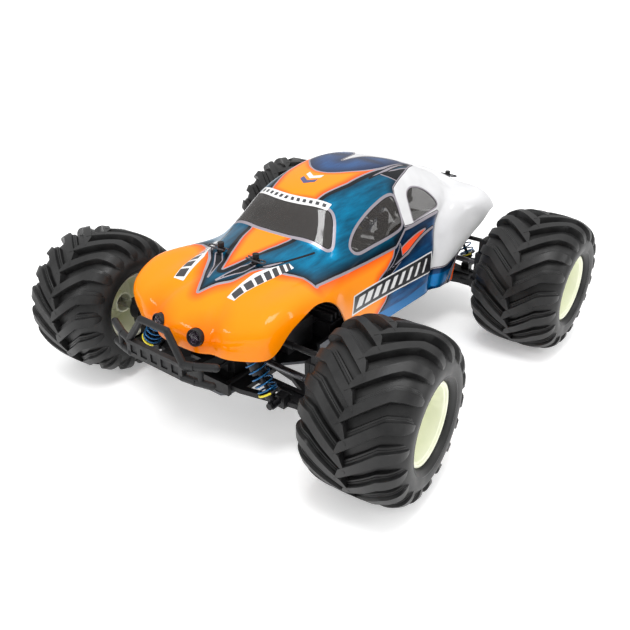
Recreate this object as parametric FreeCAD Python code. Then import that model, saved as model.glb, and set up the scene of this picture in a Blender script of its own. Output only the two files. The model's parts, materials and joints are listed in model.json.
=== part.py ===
import FreeCAD, Part
import math
import os

# Radio-controlled monster truck, 1/8 to 1/10 class, in millimetres.
# +X is the truck's left side, the nose points along -Y, +Z is up, the ground is z = 0
# and y = 0 lies midway between the axles.
# A corner of the suspension is drawn once, as the left rear one, and mirrored from there.
# "out" is the distance outward along Y from the axle, away from the middle of the truck.

V = FreeCAD.Vector
X_AXIS = V(1, 0, 0)
Y_AXIS = V(0, 1, 0)
Z_AXIS = V(0, 0, 1)

# Running gear
TYRE_R = 75.0
TYRE_HALF_W = 48.5
AXLE_Y = 157.5
TYRE_X = 172.0
HUB_Z = TYRE_R
LUGS_PER_SIDE = 18
BEAD_R = 36.6
KINGPIN_X = 115.0
STEER_AT_REST = 5.5

# Suspension pivots, in (x, z), at ride height
ARM_IN = (25.0, 54.0)
ARM_OUT = (105.0, 54.0)
LINK_IN = (30.0, 104.0)
LINK_OUT = (110.0, 104.0)
CUP_IN = (35.0, HUB_Z)
SHOCK_LOW = (82.0, 60.0)
SHOCK_TOP = (46.0, 120.0)
SHOCK_OUT = 29.0
PIN_R = 1.5
RUN = 0.05
BALL_R = 4.6
SHAFT_R = 2.2
DRIVE_PIN = 5.0

# Steering
STEER_ARM = 30.0
STEER_TIP_X = 116.0
RACK_END_X = 36.0
RACK_Z = 80.5
CRANK_X = 18.0
CRANK_LEN = 34.0
CRANK_Y = -AXLE_Y + 65.0
RACK_PER_RAD = 29.3
CRANK_PER_RAD = 0.88

# Driveline
MODULE = 0.8
PINION_TEETH = 18
SPUR_TEETH = 48
SHAFT_Z = 70.0
MOTOR_X = 22.0
MOTOR_R = 17.5
GEAR_Y0 = 75.0
GEAR_Y1 = 83.0

# Chassis and body
PLATE_Z0 = 44.0
PLATE_Z1 = 47.0
SHELL_T = 1.5
POST_FRONT = (21.7, -136.4)
POST_REAR = (26.0, 214.0)
CLIP_FRONT_Z = 163.5
CLIP_REAR_Z = 154.2
LAMP = V(22.8, -217.6, 119.6)
LAMP_R = 8.6


def box(x0, x1, y0, y1, z0, z1):
    return Part.makeBox(x1 - x0, y1 - y0, z1 - z0, V(x0, y0, z0))


def rod(a, b, r):
    d = b - a
    return Part.makeCylinder(r, d.Length, a, d)


def ball(p, r):
    return Part.makeSphere(r, p)


def y_rod(x, z, y0, y1, r):
    return rod(V(x, y0, z), V(x, y1, z), r)


def x_rod(x0, x1, y, z, r):
    return rod(V(x0, y, z), V(x1, y, z), r)


def z_rod(x, y, z0, z1, r):
    return rod(V(x, y, z0), V(x, y, z1), r)


def fuse(shapes):
    out = shapes[0].multiFuse(shapes[1:]) if len(shapes) > 1 else shapes[0]
    return out.removeSplitter()


def cut(shape, tools):
    for tool in tools:
        shape = shape.cut(tool)
    return shape


def prism(points, direction):
    wire = Part.makePolygon(points + [points[0]])
    return Part.Face(wire).extrude(direction)


def prism_xy(points, z0, z1):
    return prism([V(x, y, z0) for x, y in points], V(0, 0, z1 - z0))


def prism_xz(points, y0, y1):
    return prism([V(x, y0, z) for x, z in points], V(0, y1 - y0, 0))


def prism_yz(points, x0, x1):
    return prism([V(x0, y, z) for y, z in points], V(x1 - x0, 0, 0))


def tube_path(points, r):
    # the joint balls are a little larger than the tube, so that their surfaces cross cleanly
    parts = [ball(p, 1.03 * r) for p in points]
    for a, b in zip(points, points[1:]):
        parts.append(rod(a, b, r))
    return fuse(parts)


def other_side(shape):
    return shape.mirror(V(0, 0, 0), X_AXIS)


def other_end(shape):
    return shape.mirror(V(0, 0, 0), Y_AXIS)


def both_sides(shape):
    return [shape, other_side(shape)]


def out_y(out):
    return AXLE_Y + out


def turned(shape, point, axis, degrees):
    shape = shape.copy()
    shape.rotate(point, axis, degrees)
    return shape


def save(name, shape):
    if not shape.isValid():
        print("invalid shape", name)
    print(name, len(shape.Solids), round(shape.Volume / 1000.0, 2))
    shape.exportStep("parts/" + name + ".step")


# ---------------------------------------------------------------- wheels

def revolved(profile):
    # profile: (x, r) pairs, turned about the X axis
    points = [V(x, 0, r) for x, r in profile]
    return prism_face(points).revolve(V(0, 0, 0), X_AXIS, 360)


def prism_face(points):
    return Part.Face(Part.makePolygon(points + [points[0]]))


def ring_between(outer, inner):
    # a ring about the X axis between two lines of (x, r) points
    return revolved(outer + inner[::-1])


def mirrored_profile(half):
    left = [(-x, r) for x, r in reversed(half) if x > 0]
    return left + half


def both_halves(left, right):
    # left lists the points from the middle outwards, as positive x
    return [(-x, r) for x, r in reversed(left)] + right


def tyre():
    # The beads sit on the rim's two flanges, of which the inner one is nearer the middle.
    tread = [(20, 66.6), (33, 64.4), (40.5, 59.5), (44, 52)]
    liner = [(19, 63.9), (31, 61.8), (38.2, 57.4), (41.2, 50.8)]
    outer_bead = [(44.4, 45), (43.2, 39.8), (41.2, BEAD_R)]
    inner_bead = [(44.2, 45), (41.6, 39.8), (37.6, BEAD_R)]
    outer_liner = [(41.4, 44.6), (40.2, 40.2), (38.4, BEAD_R)]
    inner_liner = [(41.0, 44.6), (38.4, 40.2), (34.6, BEAD_R)]
    skin = both_halves(tread + inner_bead, [(0, 67.2)] + tread + outer_bead)
    core = both_halves(liner + inner_liner, [(0, 64.4)] + liner + outer_liner)
    carcass = ring_between(skin, core)
    half_lug = [(0, TYRE_R), (20, 74.4), (34, 71.6), (43, 66), (47.6, 58), (TYRE_HALF_W, 51), (46.5, 46)]
    half_root = [(0, 65.5), (20, 65), (32, 62.9), (39.3, 58.4), (42.8, 51.5), (43.3, 45.2)]
    envelope = ring_between(mirrored_profile(half_lug), mirrored_profile(half_root))
    pitch = 360.0 / LUGS_PER_SIDE
    solids = []
    for side, shift in ((1, 0.0), (-1, 0.5)):
        lug = lug_bar(side).common(envelope)
        for i in range(LUGS_PER_SIDE):
            solids.append(turned(lug, V(0, 0, 0), X_AXIS, (i + shift) * pitch))
    return carcass.multiFuse(solids)


def lug_bar(side):
    # A slanted bar from the middle of the tread to the sidewall. Its inner end leads.
    lead = 24.0
    inner = 4.0
    points = [V(-1.0, 5.5, 0), V(30, 5.5 - lead, 0), V(60, 5.5 - lead * 1.35, 0)]
    points += [V(60, -6.5 - lead * 1.35, 0), V(30, -5.0 - lead, 0), V(-1.0, -4.0, 0)]
    flat = [V(side * p.x, -p.y - inner, 42.0) for p in points]
    return prism(flat, V(0, 0, 36.0))


def rim():
    barrel = [(-36, 36.5), (-33.4, 36.5), (-33.4, 33.4), (38.2, 33.4), (38.2, 36.5), (41, 36.5)]
    inside = [(41, 31.2), (7, 29.0), (7, 9.5), (12, 9.5), (12, 0), (-22, 0), (-22, 9.5), (2, 11.5), (2, 29.0)]
    return revolved(barrel + inside + [(-36, 31.2)])


def wheel():
    # The dished rim with its hub, the stub axle, the drive cup and the nut are one solid.
    cup_x0 = 112.0 - TYRE_X
    axle_x0 = 120.0 - TYRE_X
    nut = Part.Face(hexagon(9.0, 7)).extrude(V(7, 0, 0))
    axle = x_rod(axle_x0, 16, 0, 0, 4.0)
    cup = x_rod(cup_x0, axle_x0 + 0.2, 0, 0, 7.0)
    cup = cup.cut(x_rod(cup_x0 - 1, axle_x0 - 0.2, 0, 0, 5.6))
    nut.translate(V(5, 0, 0))
    return fuse([rim(), axle, cup, nut])


def hexagon(r, x):
    points = []
    for i in range(7):
        a = math.radians(60 * i)
        points.append(V(x, r * math.cos(a), r * math.sin(a)))
    return Part.makePolygon(points)


def at_wheel(shape, side, end):
    # end is -1 for the front axle and 1 for the rear one
    shape = shape.copy()
    if side < 0:
        shape = other_side(shape)
    shape.translate(V(side * TYRE_X, end * AXLE_Y, HUB_Z))
    return steered(shape, side) if end < 0 else shape


def steered(shape, side):
    return turned(shape, V(side * KINGPIN_X, -AXLE_Y, 0), Z_AXIS, STEER_AT_REST)


# ---------------------------------------------------------------- suspension

def arm():
    ax, az = ARM_IN
    bx, bz = ARM_OUT
    plan = [(ax, -28.6), (40, -28.0), (94, -15.5), (98, -14.0), (98, 14.0), (94, 15.5), (40, 28.0), (ax, 28.6)]
    web = prism_xy([(x, out_y(v)) for x, v in plan], 51.5, 56.5)
    parts = [web, y_rod(ax, az, out_y(-28.6), out_y(28.6), 4.2)]
    for v in (-14.0, 9.2):
        parts.append(y_rod(bx, bz, out_y(v), out_y(v + 4.8), 5.0))
        parts.append(box(90, bx, out_y(v), out_y(v + 4.8), 50.0, 58.0))
    parts.append(y_rod(bx, bz, out_y(-14.0), out_y(14.0), PIN_R))
    parts.append(box(44, 94, out_y(-1.6), out_y(1.6), 50.0, 58.6))
    parts.append(box(77, 87, out_y(13.0), out_y(22.0), 51.5, 63.5))
    parts.append(y_rod(SHOCK_LOW[0], SHOCK_LOW[1], out_y(20.0), out_y(34.0), PIN_R))
    parts.append(y_rod(SHOCK_LOW[0], SHOCK_LOW[1], out_y(33.6), out_y(36.0), 3.2))
    body = fuse(parts)
    slots = []
    for s in (-1, 1):
        hole = [(42, s * 5), (42, s * 21), (64, s * 16.5), (86, s * 5)]
        slots.append(prism_xy([(x, out_y(v)) for x, v in hole], 45, 60))
    return cut(body, slots + [y_rod(ax, az, out_y(-30), out_y(30), PIN_R + RUN)])


def lower_lug():
    return y_rod(ARM_OUT[0], ARM_OUT[1], out_y(-8.6), out_y(8.6), 5.0)


def upper_ears():
    x, z = LINK_OUT
    pin = y_rod(x, z, out_y(-7), out_y(7), PIN_R)
    ears = [y_rod(x, z, out_y(v), out_y(v + 3), 4.2) for v in (-7, 4)]
    feet = [box(x - 4.2, x + 4.2, out_y(v), out_y(v + 3), 90, z) for v in (-7, 4)]
    return ears + feet + [pin]


def pin_bore():
    return y_rod(ARM_OUT[0], ARM_OUT[1], out_y(-9), out_y(9), PIN_R + RUN)


def axle_bore(x0):
    wide = x_rod(x0, 120.6, AXLE_Y, HUB_Z, 7.0 + RUN)
    narrow = x_rod(120, 130, AXLE_Y, HUB_Z, 4.0 + RUN)
    return wide.fuse(narrow)


def rear_carrier():
    # Hub carrier: low pin, bearing block and the ears of the upper link.
    block = box(103.5, 128, out_y(-10), out_y(10), 60, 91)
    neck = box(100.5, 112, out_y(-8.6), out_y(8.6), 52, 62)
    ring = x_rod(110, 129, AXLE_Y, HUB_Z, 13.0)
    body = fuse([block, neck, ring, lower_lug()] + upper_ears())
    return cut(body, [pin_bore(), axle_bore(100)])


def front_carrier():
    # C-shaped hub that holds the two kingpins above and below the steering knuckle.
    plate = box(100, 105, out_y(-8.6), out_y(8.6), 51, 99)
    low = box(101, 121, out_y(-8.2), out_y(8.2), 50.5, 60)
    high = box(100, 121, out_y(-8.2), out_y(8.2), 90, 99)
    pins = [z_rod(KINGPIN_X, AXLE_Y, 59, 66, 2.0), z_rod(KINGPIN_X, AXLE_Y, 84, 91, 2.0)]
    body = fuse([plate, low, high, lower_lug()] + pins + upper_ears())
    window = box(98, 107, out_y(-5), out_y(5), 66, 84)
    return cut(body, [window, pin_bore()])


def knuckle():
    block = box(110, 128, out_y(-9), out_y(9), 60.5, 89.5)
    ring = x_rod(118, 129, AXLE_Y, HUB_Z, 12.0)
    tip_y = out_y(-STEER_ARM)
    bar = box(112, 120, tip_y, out_y(-8), 72, 76)
    tip = z_rod(STEER_TIP_X, tip_y, 72, 76, 5.0)
    body = fuse([block, ring, bar, tip])
    kingpins = z_rod(KINGPIN_X, AXLE_Y, 60, 66.6, 2.05).fuse(z_rod(KINGPIN_X, AXLE_Y, 83.4, 90, 2.05))
    return cut(body, [axle_bore(109), kingpins])


def upper_link():
    x0, z = LINK_IN
    x1 = LINK_OUT[0]
    eyes = [y_rod(x, z, out_y(-3.4), out_y(3.4), 4.2) for x in (x0, x1)]
    body = fuse(eyes + [x_rod(x0, x1, AXLE_Y, z, 2.4), x_rod(x0 + 28, x1 - 28, AXLE_Y, z, 3.2)])
    inner = y_rod(x0, z, out_y(-4), out_y(4), PIN_R + RUN)
    outer = y_rod(x1, z, out_y(-4), out_y(4), PIN_R + 0.6)
    return cut(body, [inner, outer])


def halfshaft():
    x0, z = CUP_IN
    half = 0.5 * (KINGPIN_X - x0)
    neck = half - math.sqrt(BALL_R ** 2 - SHAFT_R ** 2)
    points = [V(-neck, 0, SHAFT_R), V(14 - half, 0, SHAFT_R), V(14 - half, 0, 3.2), V(half - 22, 0, 3.2),
              V(half - 22, 0, SHAFT_R), V(neck, 0, SHAFT_R)]
    edges = [Part.LineSegment(a, b).toShape() for a, b in zip(points, points[1:])]
    for s in (-1, 1):
        tip = V(s * (half + BALL_R), 0, 0)
        edges.append(Part.Arc(V(s * neck, 0, SHAFT_R), V(s * half, 0, BALL_R), tip).toShape())
    edges.append(Part.LineSegment(V(-half - BALL_R, 0, 0), V(half + BALL_R, 0, 0)).toShape())
    face = Part.Face(Part.Wire(Part.__sortEdges__(edges)))
    shaft = face.revolve(V(0, 0, 0), X_AXIS, 360)
    shaft.translate(V(x0 + half, AXLE_Y, z))
    pins = [y_rod(x, z, out_y(-DRIVE_PIN), out_y(DRIVE_PIN), 1.2) for x in (x0, KINGPIN_X)]
    return fuse([shaft] + pins)


# ---------------------------------------------------------------- shock absorbers

def shock_point(s):
    # a point on the shock's centre line, s millimetres below its top eye
    top = V(SHOCK_TOP[0], out_y(SHOCK_OUT), SHOCK_TOP[1])
    low = V(SHOCK_LOW[0], out_y(SHOCK_OUT), SHOCK_LOW[1])
    d = low - top
    return top + d * (s / d.Length)


def shock_length():
    return math.hypot(SHOCK_LOW[0] - SHOCK_TOP[0], SHOCK_LOW[1] - SHOCK_TOP[1])


def shock_rod(s0, s1, r):
    return rod(shock_point(s0), shock_point(s1), r)


def shock_eye(s, r, y0=-4.0, y1=4.0):
    p = shock_point(s)
    return y_rod(p.x, p.z, p.y + y0, p.y + y1, r)


def shock_body():
    body = fuse([shock_eye(0, 4.4), shock_rod(0, 6, 4.0), shock_rod(4.5, 9, 8.0), shock_rod(8, 40, 7.0),
                 shock_rod(10, 11.8, 9.4)])
    return cut(body, [shock_eye(0, PIN_R + RUN, -5, 5), shock_rod(13, 41, 1.85)])


def shock_shaft():
    length = shock_length()
    parts = [shock_eye(length, 4.2), shock_rod(length - 8, length, 3.0), shock_rod(25, length - 4, 1.8),
             shock_rod(length - 11.8, length - 10, 9.4), shock_rod(length - 10.5, length - 6, 5.0)]
    return cut(fuse(parts), [shock_eye(length, PIN_R + 0.8, -5, 5)])


def spring():
    # A left-hand coil between the collar on the shock body and the seat on the shaft.
    length = shock_length()
    s0 = 12.9
    s1 = length - 12.9
    turns = 6.5
    radius = 8.4
    helix = Part.makeHelix((s1 - s0) / turns, s1 - s0, radius, 0, True)
    wire = Part.Wire(helix.Edges)
    ring = Part.Wire(Part.makeCircle(0.9, V(radius, 0, 0), V(0, 1, 0)))
    coil = wire.makePipeShell([ring], True, False)
    d = shock_point(s0) - shock_point(s1)
    coil.Placement = FreeCAD.Placement(shock_point(s1), FreeCAD.Rotation(Z_AXIS, d))
    return coil


# ---------------------------------------------------------------- gear cases and towers

def gear_case():
    low = box(-19, 19, out_y(-22), out_y(15), PLATE_Z1, 62)
    high = box(-22, 22, out_y(-22), out_y(15), 60, 90)
    flange = box(-26, 26, out_y(-25.5), out_y(15), 88, 92)
    nose = box(-14, 14, out_y(-33), out_y(33), PLATE_Z1, 50)
    parts = [low, high, flange, nose]
    parts.append(box(-34, 34, out_y(-7), out_y(7), 88, 92))
    for v in (-33.0, 29.0):
        parts.append(box(-30, 30, out_y(v), out_y(v + 4), PLATE_Z1, 59))
    parts += hinge_pins() + link_mounts()
    for side in (-1, 1):
        parts.append(diff_cup(side))
    parts.append(y_rod(0, SHAFT_Z, out_y(-26), out_y(-20), 6.0))
    body = fuse(parts)
    return cut(body, [y_rod(0, SHAFT_Z, out_y(-28), out_y(-16), 3.0 + RUN)])


def hinge_pins():
    return [y_rod(s * ARM_IN[0], ARM_IN[1], out_y(-33), out_y(33), PIN_R) for s in (-1, 1)]


def link_mounts():
    x, z = LINK_IN
    parts = []
    for s in (-1, 1):
        for v in (-7, 4):
            parts.append(box(s * x - 4.2, s * x + 4.2, out_y(v), out_y(v + 3), 90, z))
            parts.append(y_rod(s * x, z, out_y(v), out_y(v + 3), 4.2))
        parts.append(y_rod(s * x, z, out_y(-7), out_y(7), PIN_R))
    return parts


def diff_cup(side):
    cup = x_rod(21, 37.5, AXLE_Y, HUB_Z, 7.0)
    cup = cup.cut(x_rod(30, 38, AXLE_Y, HUB_Z, 5.6))
    return cup if side > 0 else other_side(cup)


def tower():
    half = [(0, 62), (17, 62), (20, 92), (34, 108), (53, 113), (55, 124), (40, 127), (28, 118), (12, 114), (0, 114)]
    outline = half + [(-x, z) for x, z in reversed(half) if x > 0]
    body = prism_xz(outline, out_y(15), out_y(19))
    parts = [body]
    for s in (-1, 1):
        x = s * SHOCK_TOP[0]
        z = SHOCK_TOP[1]
        parts.append(y_rod(x, z, out_y(18), out_y(24.6), 3.4))
        parts.append(y_rod(x, z, out_y(24), out_y(34), PIN_R))
        parts.append(y_rod(x, z, out_y(33.6), out_y(36), 3.2))
    holes = [y_rod(s * 20, 103, out_y(14), out_y(20), 4.5) for s in (-1, 1)]
    return cut(fuse(parts), holes)


# ---------------------------------------------------------------- steering

def rack():
    parts = [box(-28.5, 28.5, -out_y(-26.5), -out_y(-38.5), 77, 81)]
    for s in (-1, 1):
        for v in (-37.0, -27.0):
            ya = -out_y(v + 3.0)
            x0, x1 = sorted((s * 27, s * RACK_END_X))
            parts.append(box(x0, x1, ya, ya + 3.0, 77, 84))
            parts.append(y_rod(s * RACK_END_X, RACK_Z, ya, ya + 3.0, 3.5))
        parts.append(y_rod(s * RACK_END_X, RACK_Z, -out_y(-24.5), -out_y(-36.5), PIN_R))
    slots = [crank_slot(s) for s in (-1, 1)]
    return cut(fuse(parts), slots)


def crank_slot(side):
    x = side * CRANK_X
    ya = CRANK_Y - CRANK_LEN
    yb = ya + 3.6
    return fuse([box(x - 2.2, x + 2.2, ya, yb, 76, 82), z_rod(x, ya, 76, 82, 2.2), z_rod(x, yb, 76, 82, 2.2)])


def bellcrank(side):
    x = side * CRANK_X
    tip = CRANK_Y - CRANK_LEN
    arm_bar = box(x - 3.5, x + 3.5, tip, CRANK_Y, 82.6, 86.4)
    parts = [arm_bar, z_rod(x, CRANK_Y, 80.2, 86.8, 7.0), z_rod(x, tip, 82.6, 86.4, 4.0)]
    parts.append(z_rod(x, tip, 76.6, 83.0, PIN_R))
    body = fuse(parts).cut(z_rod(x, CRANK_Y, 79, 88, 2.5 + RUN))
    turn = -CRANK_PER_RAD * STEER_AT_REST
    return turned(body, V(x, CRANK_Y, 0), Z_AXIS, turn)


def tie_rod():
    # A threaded rod from the rack to a ball that rides just above the knuckle's arm.
    y = -out_y(-STEER_ARM)
    length = STEER_TIP_X - RACK_END_X
    thin, thick, ball_r = 1.9, 2.9, 4.0
    mid = 0.5 * length
    neck = length - math.sqrt(ball_r ** 2 - thin ** 2)
    profile = [(0, 0), (0, thin), (mid - 9, thin), (mid - 9, thick), (mid + 9, thick), (mid + 9, thin), (neck, thin)]
    points = [V(x, 0, r) for x, r in profile]
    edges = [Part.LineSegment(a, b).toShape() for a, b in zip(points, points[1:])]
    tip = V(length + ball_r, 0, 0)
    edges.append(Part.Arc(points[-1], V(length, 0, ball_r), tip).toShape())
    edges.append(Part.LineSegment(tip, points[0]).toShape())
    bar = Part.Face(Part.Wire(Part.__sortEdges__(edges))).revolve(V(0, 0, 0), X_AXIS, 360)
    bar.translate(V(RACK_END_X, y, RACK_Z))
    eye = y_rod(RACK_END_X, RACK_Z, y - 2.5, y + 2.5, 3.6)
    return fuse([eye, bar]).cut(y_rod(RACK_END_X, RACK_Z, y - 4, y + 4, PIN_R + RUN))


def half_turn(shape, y=0):
    return turned(shape, V(0, y, 0), Z_AXIS, 180)


def rack_shift(shape):
    shape = shape.copy()
    shape.translate(V(-RACK_PER_RAD * math.radians(STEER_AT_REST), 0, 0))
    return shape


def servo():
    x = CRANK_X
    parts = [box(x - 10, x + 10, CRANK_Y - 10, CRANK_Y + 30, PLATE_Z1, 76)]
    parts.append(box(x - 10, x + 10, CRANK_Y - 17, CRANK_Y + 37, 66, 69))
    parts.append(z_rod(x, CRANK_Y, 75, 79.6, 6.0))
    parts.append(z_rod(x, CRANK_Y, 79, 88, 2.5))
    return fuse(parts)


# ---------------------------------------------------------------- driveline and electrics

def involute(radius_base, radius):
    t = math.sqrt(max((radius / radius_base) ** 2 - 1.0, 0.0))
    return t - math.atan(t)


def gear_outline(teeth, slack):
    # involute flanks, 20 degree pressure angle; slack thins each tooth at the pitch circle
    pitch_r = MODULE * teeth / 2.0
    base_r = pitch_r * math.cos(math.radians(20))
    tip_r = pitch_r + 0.95 * MODULE
    root_r = pitch_r - 1.2 * MODULE
    half = math.pi / (2 * teeth) - slack / (2 * pitch_r)
    at_pitch = involute(base_r, pitch_r)
    points = []
    for k in range(teeth):
        mid = 2 * math.pi * k / teeth
        flank = []
        for i in range(5):
            r = max(base_r, root_r) + (tip_r - max(base_r, root_r)) * i / 4.0
            flank.append((r, half + at_pitch - involute(base_r, r)))
        side = [(root_r, flank[0][1])] + flank
        points += [(r, mid - a) for r, a in side]
        points += [(r, mid + a) for r, a in reversed(side)]
    return points


def gear(teeth, x, z, turn, slack):
    points = []
    for r, a in gear_outline(teeth, slack):
        points.append(V(x + r * math.sin(a + turn), GEAR_Y0, z + r * math.cos(a + turn)))
    return prism(points, V(0, GEAR_Y1 - GEAR_Y0, 0))


def motor_z():
    distance = MODULE * (PINION_TEETH + SPUR_TEETH) / 2.0
    return SHAFT_Z + math.sqrt(distance ** 2 - MOTOR_X ** 2)


def mesh_angle():
    # direction from the spur gear to the pinion, measured from +Z towards +X
    return math.atan2(MOTOR_X, motor_z() - SHAFT_Z)


def driveline():
    spur = gear(SPUR_TEETH, 0, SHAFT_Z, mesh_angle(), 0.16)
    hub = y_rod(0, SHAFT_Z, GEAR_Y0 - 0.2, GEAR_Y1 + 5, 7.0)
    spur = cut(spur, [y_rod(13.5 * math.sin(a), SHAFT_Z + 13.5 * math.cos(a), GEAR_Y0 - 1, GEAR_Y1 + 1, 3.2)
                      for a in [math.radians(60 * i) for i in range(6)]])
    shaft = y_rod(0, SHAFT_Z, -AXLE_Y + 18, AXLE_Y - 18, 3.0)
    return fuse([spur, hub, shaft])


def pinion():
    turn = mesh_angle() + math.pi + math.pi / PINION_TEETH
    body = gear(PINION_TEETH, MOTOR_X, motor_z(), turn, 0.16)
    body = body.fuse(y_rod(MOTOR_X, motor_z(), GEAR_Y1 - 0.5, GEAR_Y1 + 5, 5.5))
    return body.cut(y_rod(MOTOR_X, motor_z(), GEAR_Y0 - 1, GEAR_Y1 + 6, 2.5 + RUN))


def motor():
    z = motor_z()
    parts = [y_rod(MOTOR_X, z, 22, 72, MOTOR_R), y_rod(MOTOR_X, z, 18, 23, 7.0)]
    parts += [y_rod(MOTOR_X, z, 71, 74, 5.0), y_rod(MOTOR_X, z, 73, GEAR_Y1 + 4, 2.5)]
    body = fuse(parts)
    fins = []
    for i in range(7):
        y = 28 + 6 * i
        ring = y_rod(MOTOR_X, z, y, y + 2.5, MOTOR_R + 1).cut(y_rod(MOTOR_X, z, y, y + 2.5, MOTOR_R - 1.2))
        fins.append(ring)
    return cut(body, fins)


def battery():
    body = box(-46, -14, -62, 62, PLATE_Z1, 72)
    lead = box(-36, -24, 62, 70, 54, 64)
    long_edges = [e for e in body.Edges if abs(e.tangentAt(e.FirstParameter).y) > 0.9]
    return fuse([body.makeFillet(2.5, long_edges), lead])


def speed_controller():
    case = box(10, 44, -54, 8, PLATE_Z1, 66)
    fins = [box(12, 42, -50 + 7 * i, -47 + 7 * i, 65, 74) for i in range(8)]
    return fuse([case] + fins)


# ---------------------------------------------------------------- chassis and bumpers

def chassis():
    half = [(20, -214), (26, -196), (30, -120), (52, -96), (54, -84), (54, 84), (52, 96), (30, 120),
            (26, 196), (20, 214)]
    outline = half + [(-x, y) for x, y in reversed(half)]
    parts = [prism_xy(outline, PLATE_Z0, PLATE_Z1)]
    for s in (-1, 1):
        x0, x1 = sorted((s * 50, s * 54))
        parts.append(box(x0, x1, -84, 84, PLATE_Z0, 60))
    parts.append(z_rod(-CRANK_X, CRANK_Y, PLATE_Z0 + 1, 79.6, 5.0))
    parts.append(z_rod(-CRANK_X, CRANK_Y, 79, 88, 2.5))
    wall = box(-9, 44, 72.2, 74.4, PLATE_Z1 - 1, 98)
    parts.append(wall)
    body = fuse(parts)
    shaft_hole = y_rod(0, SHAFT_Z, 70, 76, 5.0)
    motor_hole = y_rod(MOTOR_X, motor_z(), 70, 76, 6.0)
    return cut(body, [shaft_hole, motor_hole])


def front_bumper():
    plate = box(-35, 35, -245.5, -240.5, 95, 111)
    parts = [plate]
    hoop = [V(-35, -242.5, 108), V(-16, -241, 134.5), V(16, -241, 134.5), V(35, -242.5, 108)]
    parts.append(tube_path(hoop, 3.2))
    for s in (-1, 1):
        parts.append(tube_path([V(s * 33, -242.5, 109), V(s * 45, -240.5, 111), V(s * 63.5, -234, 113.5)], 3.4))
        parts.append(tube_path([V(s * 33, -243, 97), V(s * 45, -240.5, 96), V(s * 60, -236.6, 95.7)], 3.4))
        parts.append(rod(V(s * 50, -239, 96), V(s * 50, -239, 111.5), 2.6))
        x0, x1 = sorted((s * 14, s * 21))
        brace = [(-241, 96), (-241, 108), (-222, 92), (-200, 58), (-194, 50.5), (-194, PLATE_Z1), (-214, PLATE_Z1)]
        parts.append(prism_yz(brace, x0, x1))
    parts.append(box(-22, 22, -214, -194, PLATE_Z1, 50.5))
    pockets = [box(x - 4, x + 4, -246, -244.3, 99, 107) for x in (-26, -13, 0, 13, 26)]
    return cut(fuse(parts), pockets)


def rear_bumper():
    parts = [box(-22, 22, 194, 214, PLATE_Z1, 50.5), box(-44, 44, 234, 239, 62, 69), box(-48, 48, 234.5, 241, 80, 88)]
    for s in (-1, 1):
        x0, x1 = sorted((s * 14, s * 21))
        brace = [(237, 64), (237, 84), (235, 84), (212, 58), (200, 50.5), (200, PLATE_Z1), (214, PLATE_Z1)]
        parts.append(prism_yz(brace, x0, x1))
        x0, x1 = sorted((s * 33, s * 38))
        parts.append(box(x0, x1, 235, 238, 68, 81))
        horn = [V(s * 47.9, 234.5, 0), V(s * 47.9, 241, 0), V(s * 56, 232, 0), V(s * 53, 227, 0)]
        parts.append(prism([V(p.x, p.y, 80.5) for p in horn], V(0, 0, 7.0)))
    return fuse(parts)


# ---------------------------------------------------------------- body shell

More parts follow.
